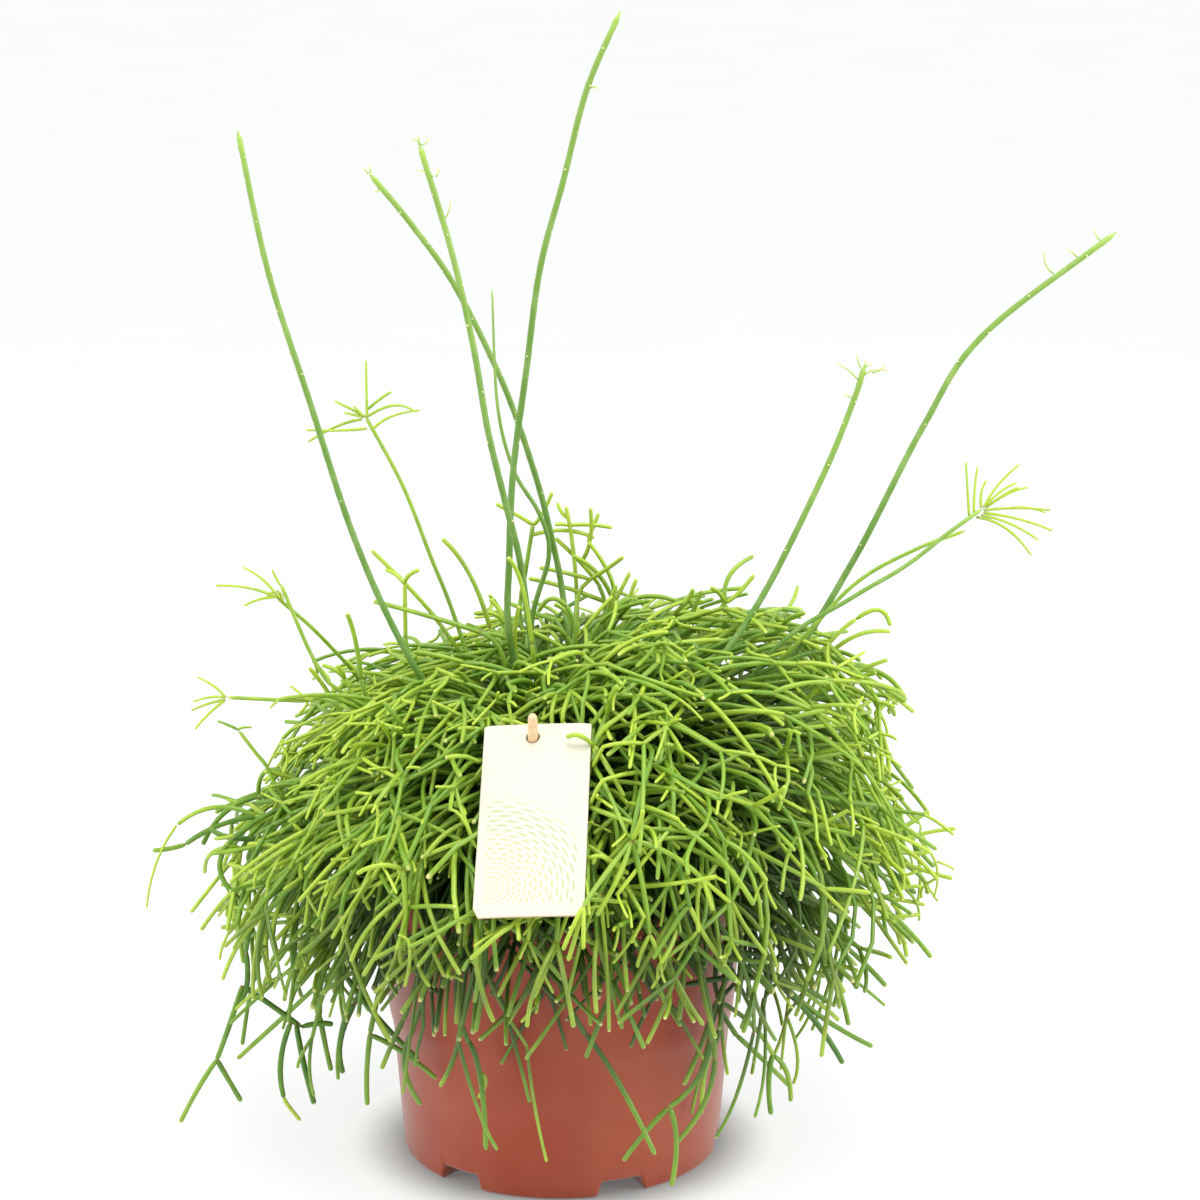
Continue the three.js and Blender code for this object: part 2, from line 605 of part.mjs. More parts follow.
const STRAYS = [
  { leave: [342, 52], through: [[92, -30, 234], [125, -27, 256], [148, -23, 269], [182, -15, 293]],
    rays: 9, length: 28 },
  { leave: [349, 50], through: [[104, -20, 236], [128, -18, 261], [153, -16, 275], [175, -14, 283]],
    rays: 0, length: 0 },
  { leave: [168, 32], through: [[-47, 10, 240], [-57, 9, 267], [-69, 9, 299], [-85, 9, 330]],
    rays: 6, length: 26 },
  { leave: [192, 45], through: [[-91, -22, 211], [-105, -20, 225], [-120, -20, 260]],
    rays: 4, length: 16 },
  { leave: [184, 45], through: [[-84, -6, 206], [-95, -8, 222], [-108, -12, 240], [-120, -18, 254]],
    rays: 0, length: 0 },
  { leave: [198, 52], through: [[-92, -30, 211], [-112, -32, 212], [-143, -34, 214]],
    rays: 4, length: 15 },
  { leave: [187, 60], through: [[-114, -16, 163], [-130, -14, 180], [-141, -12, 194]],
    rays: 2, length: 8 },
  { leave: [187, 62], through: [[-126, -20, 182], [-148, -14, 154], [-176, -10, 138]],
    rays: 2, length: 13 },
  { leave: [200, 66], through: [[-135, -50, 106], [-137, -50, 90], [-149, -50, 56], [-165, -55, 29]],
    rays: 0, length: 0 },
  { leave: [250, 66], through: [[-40, -102, 132], [-37, -106, 103], [-33, -106, 82], [-30, -106, 38]],
    rays: 0, length: 0 },
  { leave: [292, 66], through: [[52, -104, 116], [50, -106, 86], [46, -106, 56], [47, -106, 22]],
    rays: 2, length: 16 },
  { leave: [308, 66], through: [[75, -66, 131], [67, -66, 89], [92, -58, 61], [100, -56, 39]],
    rays: 2, length: 9 },
  { leave: [352, 60], through: [[130, -18, 164], [150, -20, 154], [173, -22, 152]],
    rays: 2, length: 10 },
];

function addCanes(bunches, canes, radius, sides) {
  canes.forEach(({ leave, through, rays, length = 14 }, i) => {
    const points = through.map((place) => new THREE.Vector3(...place));
    const bunch = bunchAt(points[0]);
    const root = inDome(CORE_SHARE * 0.8, leave[1] * DEGREE, leave[0] * DEGREE);
    points.unshift(keepInBunch(root, bunch, radius + GAP));
    const path = new THREE.CatmullRomCurve3(points);
    const spans = Math.ceil(path.getLength() / CANE_SPAN);
    bunches[bunch] = bunches[bunch].add(stemAlong(path, radius, sides, spans));
    addRays(bunches, bunch, 700 + i + 20 * sides, path, { rays, length, radius: RAY_RADIUS });
  });
}

/** The dense inside of one bunch, with the stock that it stands on. */
function makeCore(bunch) {
  const profile = [[0, HEART_HEIGHT + CORE_SHARE * domeReach(0, Math.PI / 2)]];
  const steps = 5;
  for (let i = 1; i <= steps; i++) {
    const fromTop = 80 * DEGREE * i / steps;
    const reach = CORE_SHARE * domeReach(fromTop, Math.PI / 2);
    const height = HEART_HEIGHT + reach * Math.cos(fromTop);
    profile.push([reach * Math.sin(fromTop), Math.max(height, CORE_UNDERSIDE + 2)]);
  }
  profile.push([profile[steps][0] - 3, CORE_UNDERSIDE], [0, CORE_UNDERSIDE]);
  const dome = turned(profile.reverse(), 3 * RING_BUNCHES);
  const outline = new THREE.Shape();
  if (bunch === 0) {
    outline.absarc(0, 0, MIDDLE_RADIUS - GAP, 0, Math.PI * 2);
  } else {
    const middle = 2 * Math.PI * (bunch - 0.5) / RING_BUNCHES;
    const half = Math.PI / RING_BUNCHES;
    const far = SIDE_REACH;
    const near = MIDDLE_RADIUS + 2;
    const shift = polar(GAP / Math.sin(half), middle, 0);
    const corner = (radius, turn) => polar(radius, middle + turn, 0).add(shift);
    const corners = [corner(near, -half), corner(far, -half), corner(far, half), corner(near, half)];
    corners.push(corner(near, 0));
    corners.forEach(({ x, y }, i) => (i === 0 ? outline.moveTo(x, y) : outline.lineTo(x, y)));
    outline.closePath();
  }
  const geometry = new THREE.ExtrudeGeometry(outline, { depth: 200, bevelEnabled: false, curveSegments: 18 });
  const cell = toSolid(geometry.translate(0, 0, 100));
  const { foot, radius } = stockOf(bunch);
  const head = foot.clone().setZ(CORE_UNDERSIDE + 10);
  const core = dome.intersect(cell).add(bar(foot, head, radius, radius, STOCK_SIDES));
  const channel = STICK_RADIUS + 1;
  return core.subtract(bar(stickPoint(STICK_FOOT_HEIGHT), stickTip, channel, channel, 8));
}

const plant = new THREE.Group();
plant.add(toMesh('pot', makePot(), POT_COLOUR, 0.55));
plant.add(toMesh('soil', makeSoil(), SOIL_COLOUR, 1));

const bunches = [];
for (let bunch = 0; bunch <= RING_BUNCHES; bunch++) {
  bunches.push(makeCore(bunch));
}
addMainStems(bunches);
addPlainStems(bunches);
addTuft(bunches);
addCanes(bunches, CANES, CANE_RADIUS, CANE_SIDES);
addCanes(bunches, STRAYS, STEM_RADIUS, STEM_SIDES);
bunches.forEach((solid, bunch) => {
  const name = bunch === 0 ? 'stems_middle' : `stems_${String(bunch).padStart(2, '0')}`;
  plant.add(toMesh(name, solid, STEM_COLOURS[bunch % STEM_COLOURS.length], 0.6));
});

plant.add(toMesh('card_stick', makeStick(), STICK_COLOUR, 0.7));
plant.add(toMesh('plant_card', makeCard(), CARD_COLOUR, 0.5));

export default plant;
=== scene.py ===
"""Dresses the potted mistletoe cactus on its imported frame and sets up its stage.

Metres, +Z up. The origin is the centre of the pot's underside, and the plant is seen from -Y.
"""

import bpy
import numpy as np
from bpy.props import FloatProperty, FloatVectorProperty, IntProperty, PointerProperty
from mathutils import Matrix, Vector


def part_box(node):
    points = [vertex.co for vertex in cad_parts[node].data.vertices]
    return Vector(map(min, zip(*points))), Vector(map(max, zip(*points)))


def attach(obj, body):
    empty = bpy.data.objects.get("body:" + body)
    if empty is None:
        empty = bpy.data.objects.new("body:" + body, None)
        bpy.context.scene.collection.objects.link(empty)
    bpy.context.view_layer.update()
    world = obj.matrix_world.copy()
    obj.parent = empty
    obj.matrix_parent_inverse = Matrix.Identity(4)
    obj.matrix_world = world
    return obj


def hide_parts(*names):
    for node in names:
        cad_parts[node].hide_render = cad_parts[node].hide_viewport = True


bl_info = {
    "name": "Potted Mistletoe Cactus",
    "version": (1, 0, 0),
    "blender": (4, 5, 0),
    "location": "View3D > Sidebar > Mistletoe Cactus",
    "description": "Dresses a potted mistletoe cactus and sets up its stage",
    "category": "Object",
}

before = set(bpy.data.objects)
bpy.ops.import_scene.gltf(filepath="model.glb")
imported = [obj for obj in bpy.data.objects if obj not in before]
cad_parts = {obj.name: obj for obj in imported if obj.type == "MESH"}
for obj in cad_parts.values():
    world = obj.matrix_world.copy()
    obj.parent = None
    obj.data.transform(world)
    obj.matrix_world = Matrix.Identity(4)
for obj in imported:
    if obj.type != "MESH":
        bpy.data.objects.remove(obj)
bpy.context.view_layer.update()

MM = 0.001
GOLDEN_ANGLE = np.radians(137.50776)
UP = np.array([0.0, 0.0, 1.0])

# Pot: the rim's radius and height come from the frame.
POT_LOW, POT_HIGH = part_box("pot")
POT_TOP = POT_HIGH.z
RIM_RADIUS = (POT_HIGH.x - POT_LOW.x) / 2
BASE_RADIUS = 71.2 * MM
BASE_ROUNDING = 2.4 * MM
WALL_SLOPE = 0.077
WALL = 1.8 * MM
FLOOR = 2.2 * MM
BAND_START = 58 * MM
BAND_PROUD = 1.3 * MM
BAND_BLEND = 8 * MM
RIM_DEPTH = 6 * MM
BAY_COUNT = 6
FIRST_BAY_ANGLE = np.radians(292.3)
BAY_HEIGHT = 7 * MM
BAY_FOOT_WIDTH = 23 * MM
BAY_ROOF_WIDTH = 18 * MM
BAY_INNER_RADIUS = 44 * MM

# Soil: the top's height in the middle comes from the frame.
SOIL_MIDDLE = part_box("soil")[1].z
SOIL_EDGE = SOIL_MIDDLE - 4 * MM

# Dome of stems: how far it reaches from a heart above the soil.
HEART = np.array([0.0, 0.0, 134 * MM])
CROWN_REACH = 95 * MM
SIDE_REACH = 152 * MM
SHOULDER = 11 * MM
LOPSIDED = 8 * MM
WAIST = 19 * MM
WAIST_ANGLE = np.radians(75)
WAIST_SPREAD = np.radians(9)
LOBES = 5 * MM
SKIRT_ANGLE = 86
FRONT_LIFT = 12
UNDERSIDE = 88 * MM
FRONT_UNDERSIDE = 22 * MM
RIGHT_UNDERSIDE = 24 * MM
BARE_HEIGHT = 8 * MM
RING_BUNCHES = 12
MIDDLE_RADIUS = 44 * MM
KEPT_BEYOND = 0.3
# Painted shade deep in the dome: it sets in inside this share of the dome's reach, and is full a further
# share in.
SKIN_SHARE = 0.97
SHADED_SHARE = 0.3

# Main stems: where they root, and how those that end low rise over their joint and drop on it.
ROOTS_RADIUS = 66 * MM
LOW_ANGLE = 62
LOW_SPREAD = 26
LOW_RISE = 66 * MM
LOW_DROP = 52 * MM

# Fringe: how far out and how low it hangs in millimetres, and how much higher in front and right.
FRINGE_REACH = (98, 158)
FRINGE_LOW = (50, 104)
FRINGE_FRONT_LIFT = 30
FRINGE_RIGHT_LIFT = 14

# Random spreads of stems: lengths and sizes as shares, ages, and turns in degrees or radians.
ARCH_ENDS = (0.94, 1.08)
ARCH_ASIDE = 20
ARCH_FALL = (2, 20)
WHORL_LENGTHS = (0.55, 1.55)
WHORL_SIZES = (0.86, 1.1)
WHORL_LIMITS = (0.92, 1.08)
AGE_SPREAD = 0.22
TURN_SPREAD = 0.5
LOOSE_FROM = 0.95
LOOSE_SHARE = 1.2
HANG_SPREAD = 16

# Shade under the dome's edge: it sets in down the first heights and back to front over the
# depths, and lightens again down the last heights.
SHELTER_HEIGHTS = (165 * MM, 120 * MM)
SHELTER_DEPTHS = (-55 * MM, -95 * MM)
SHELTER_ENDS = (50 * MM, 85 * MM)

# Waves that turn the stems' flow aside: how far each swings, and how it runs through space.
BROAD_EDDY = 0.68
FINE_EDDY = 0.45
EDDY = np.array([[60.0, -45.0, 70.0], [-110.0, 90.0, 60.0], [12.0, 20.0, -9.0]])

# The number of the first stem of each kind: a stem's random traits come from its number.
FIRST_ARCH = 5000
FIRST_FRINGE = 6000
FIRST_SPRIG = 7000
FIRST_HANGER = 7700
FIRST_RAY = 8000
FIRST_HAIR = 8300
FIRST_AREOLE = 9000

# Feet of stems placed one by one: how much their numbers are raised, and how far in they seek a joint.
FOOT_STEP = 300
FOOT_REACH = 40 * MM

# Whorls: the number of the first stem, how many stems one may have and the trait that picks it, the
# degrees by which they open, how they sag as shares of their length, their age, and how far they
# may reach as a share of the dome's reach. Hanging ones may pass its underside.
WHORLS = {
    "first": dict(
        first=10000, choices=(2, 3, 3, 4), trait=12, spread=(16, 60), sag=(0.15, 0.6), age=0.4, most=0.95),
    "second": dict(
        first=20000, choices=(0, 1, 1, 2, 3), trait=13, spread=(16, 52), sag=(-0.1, 0.4), age=0.6, most=1.0),
    "forks": dict(
        first=30000, choices=(0, 1, 2, 2, 3), trait=14, spread=(16, 48), sag=(-0.05, 0.4), age=0.65,
        most=1.02),
    "ends": dict(
        first=35000, choices=(0, 1, 1, 2), trait=17, spread=(10, 50), sag=(0.1, 0.5), age=0.55, most=1.1,
        hanging=True),
    "twigs": dict(
        first=50000, choices=(0, 0, 0, 0, 0, 1, 2), trait=16, spread=(15, 55), sag=(-0.1, 0.3), age=0.95,
        most=1.06),
    "fork_twigs": dict(
        first=60000, choices=(0, 0, 0, 1, 2), trait=16, spread=(15, 55), sag=(-0.1, 0.3), age=0.95,
        most=1.06),
}

# How stems keep clear of the pot, the card and the stick, and how near one starts to its bearer.
STEM_GAP = 0.4 * MM
CANE_GAP = 0.5 * MM
RIM_EASE = 6 * MM
CARD_EASE = 9 * MM
CARD_SIDE_EASE = 7 * MM
JOINT_REACH = 2.5 * MM

# Meshes of stems and canes: sides round them, and steps or rings along them.
THICK_SIDES, THICK_STEPS = 7, 8
THIN_SIDES, THIN_STEPS = 6, 3
CANE_SIDES = 10
CANE_RINGS = 84
CANE_END = 1.7 * MM

# Stick and card: the stick leans to the front, and the card hangs on it by a hole.
STICK_RADIUS = 2.35 * MM
STICK_LEAN = np.radians(27)
STICK_FOOT_HEIGHT = 38 * MM
STICK_BEYOND_CARD = 12.5 * MM
STICK_TAPER = 12 * MM
CARD_WIDTH = 44 * MM
CARD_HEIGHT = 88 * MM
CARD_THICKNESS = 0.8 * MM
CARD_CORNER = 1.2 * MM
CARD_TOP = np.array([-7.8, -94.6, 217.5]) * MM
CARD_TILT = np.radians(45.8)
CARD_ROLL = np.radians(-4.8)
CARD_YAW = np.radians(-9.3)
CARD_HOLE_RADIUS = 2.75 * MM
CARD_HOLE_DROP = 6.2 * MM
CARD_HOLE_ACROSS = -1.8 * MM

# Stage: places in metres.
FLOOR_RADIUS = 14
FLAT_RADIUS = 4
FLOOR_SWEEP = 0.012
LIGHT_SIZE = 1.2
LIT_PLACE = (0, 0, 0.15)
OVERHEAD_PLACE = (0.2, -0.4, 1.9)
RIGHT_PLACE = (1.7, -0.5, 0.8)
LEFT_PLACE = (-1.7, -0.6, 0.8)
RIGHT_SHARE = 1.15
CAMERA_PLACE = (0.0174, -1.186, 0.496)
CAMERA_TILT = np.radians(78.26)
SENSOR_WIDTH = 36

# Canes and thinner stems above the dome, and stray stems at its sides: the direction in which each
# leaves the heart, as degrees round the upright axis and from the top, then the points that it
# passes in millimetres. A whip runs out to a point.
CANES = (
    dict(leave=(197, 42), through=(
        (-67, -20, 232), (-88, -15, 279), (-107, -10, 339), (-124, -5, 394), (-136, 0, 453))),
    dict(leave=(60, 14), through=(
        (1, 34, 242), (-5, 30, 275), (-12, 26, 303), (-25, 20, 342), (-45, 12, 385), (-63, 6, 412),
        (-81, 0, 435))),
    dict(leave=(235, 10), through=(
        (-13, -14, 239), (-17, -20, 271), (-23, -26, 298), (-30, -26, 328), (-36, -24, 364), (-45, -22, 404),
        (-58, -20, 448))),
    dict(leave=(190, 12), through=(
        (-22, -6, 233), (-22, -6, 269), (-20, -6, 308), (-14, -8, 352), (-8, -12, 395), (2, -16, 432),
        (12, -22, 470), (26, -26, 502))),
    dict(leave=(333, 38), through=(
        (60, -30, 218), (86, -20, 253), (112, -12, 304), (126, -5, 337), (131, -5, 354))),
    dict(leave=(353, 45), through=(
        (98, -12, 224), (127, -10, 269), (156, -8, 327), (181, -5, 366), (238, 0, 410))),
)
SPURS = (
    dict(leave=(342, 52), through=(
        (92, -30, 234), (125, -27, 256), (148, -23, 269), (167, -19, 283), (182, -15, 293))),
)
WHIPS = (
    dict(leave=(160, 8), through=(
        (-13, 8, 234), (-5, 6, 268), (-9, 4, 287), (-20, 4, 306), (-27, 4, 335), (-29, 4, 386))),
)
STRAYS = (
    dict(leave=(349, 50), through=((104, -20, 236), (128, -18, 261), (153, -16, 275), (175, -14, 283))),
    dict(leave=(168, 32), through=((-47, 10, 240), (-57, 9, 267), (-69, 9, 299), (-85, 9, 330))),
    dict(leave=(192, 45), through=((-91, -22, 211), (-105, -20, 225), (-120, -20, 261))),
    dict(leave=(172, 45), through=((-84, 12, 206), (-95, 0, 222), (-108, -12, 240), (-122, -20, 255))),
    dict(leave=(198, 52), through=((-92, -30, 211), (-112, -32, 212), (-143, -34, 214))),
    dict(leave=(187, 60), through=((-114, -16, 163), (-130, -14, 180), (-141, -12, 194))),
)
# Shoots that end the stray stems: the points where each starts, bends and ends, then its age.
RAYS = (
    ((-84, 9, 328), (-84, 9, 341), (-84, 9, 354), 0.9),
    ((-84, 9, 332), (-78, 9, 337), (-73, 9, 340), 0.7),
    ((-84, 9, 329), (-73, 9, 334), (-64, 9, 332), 0.8),
    ((-82, 9, 323), (-74, 9, 329), (-61, 9, 332), 1),
    ((-86, 9, 328), (-97, 9, 325), (-110, 9, 318), 0.8),
    ((-84, 9, 324), (-96, 9, 323), (-110, 9, 323), 0.9),
    ((-85, 9, 329), (-90, 9, 332), (-98, 9, 336), 0.7),
    ((-85, 9, 329), (-90, 9, 330), (-94, 9, 331), 0.9),
    ((-85, 9, 329), (-87, 9, 331), (-90, 9, 334), 1),
    ((176, -15, 289), (175, -15, 301), (174, -15, 313), 1),
    ((178, -15, 290), (178, -15, 301), (179, -15, 311), 1),
    ((181, -15, 293), (181, -15, 300), (183, -15, 305), 0.9),
    ((182, -15, 293), (188, -15, 303), (197, -15, 312), 1),
    ((183, -15, 294), (189, -15, 300), (196, -15, 304), 1),
    ((183, -15, 293), (191, -15, 299), (197, -15, 302), 1),
    ((183, -15, 293), (192, -15, 299), (201, -15, 302), 1),
    ((182, -15, 292), (196, -15, 293), (211, -15, 292), 0.9),
    ((193, -15, 293), (202, -15, 293), (209, -15, 291), 1),
    ((182, -15, 291), (198, -15, 288), (212, -15, 283), 0.9),
    ((181, -15, 290), (194, -15, 286), (206, -15, 279), 0.95),
    ((179, -15, 289), (192, -15, 284), (203, -15, 272), 0.9),
    ((-120, -20, 260), (-122, -20, 264), (-123, -20, 267), 1),
    ((-121, -20, 255), (-128, -20, 263), (-136, -20, 268), 0.9),
    ((-122, -20, 255), (-134, -20, 259), (-148, -20, 260), 0.8),
    ((-121, -20, 255), (-129, -20, 254), (-136, -20, 251), 0.8),
    ((-120, -20, 254), (-123, -20, 257), (-126, -20, 255), 1),
    ((-119, -20, 253), (-120, -20, 256), (-122, -20, 258), 1),
    ((-143, -34, 214), (-148, -34, 219), (-155, -34, 223), 1),
    ((-143, -34, 214), (-150, -34, 214), (-157, -34, 212), 1),
    ((-143, -34, 213), (-151, -34, 211), (-158, -34, 208), 0.9),
    ((-143, -34, 213), (-150, -34, 207), (-156, -34, 200), 0.9),
    ((-105, -33, 212), (-113, -33, 214), (-120, -33, 213), 0.8),
    ((-118, -33, 213), (-121, -33, 212), (-124, -33, 209), 1),
    ((-141, -12, 194), (-145, -12, 196), (-150, -12, 198), 0.5),
    ((-141, -12, 194), (-139, -12, 195), (-135, -12, 195), 0.8),
    ((157, -22, 147), (165, -22, 135), (164, -22, 120), 0.9),
    ((150, -34, 128), (155, -34, 122), (156, -34, 114), 0.6),
    ((165, -22, 137), (170, -22, 135), (173, -22, 133), 1),
    ((-168, -20, 153), (-177, -20, 136), (-181, -20, 116), 1),
)
# Hair-thin shoots near the ends of the canes, laid out as the rays are.
HAIRS = (
    ((128, -5, 347), (124, -5, 351), (119, -5, 354), 1),
    ((129, -5, 352), (128, -5, 355), (127, -5, 358), 1),
    ((130, -5, 348), (134, -5, 351), (141, -5, 351), 1),
    ((134, -5, 350), (137, -5, 351), (139, -5, 353), 1),
    ((131, -5, 352), (132, -5, 353), (134, -5, 354), 1),
    ((131, -5, 353), (131, -5, 354), (131, -5, 356), 1),
    ((126, -5, 339), (124, -5, 340), (122, -5, 341), 1),
    ((-52, -21, 434), (-55, -21, 436), (-59, -21, 437), 1),
    ((-51, -21, 434), (-50, -21, 436), (-50, -21, 438), 1),
    ((-49, -21, 415), (-46, -21, 419), (-45, -21, 424), 1),
    ((211, -2, 392), (207, -2, 396), (206, -2, 401), 1),
    ((221, -1, 399), (219, -1, 401), (217, -1, 403), 1),
    ((231, 0, 406), (229, 0, 408), (228, 0, 411), 1),
    ((-57, -20, 447), (-59, -20, 449), (-61, -20, 449), 1),
    ((-57, -20, 447), (-55, -20, 448), (-54, -20, 450), 1),
    ((-58, -20, 447), (-58, -20, 449), (-58, -20, 451), 1),
    ((-75, 1, 427), (-77, 1, 427), (-79, 1, 426), 1),
    ((-81, 0, 434), (-82, 0, 436), (-83, 0, 437), 1),
    ((-80, 0, 434), (-80, 0, 436), (-80, 0, 438), 1),
    ((13, -22, 470), (15, -22, 471), (17, -22, 470), 1),
)
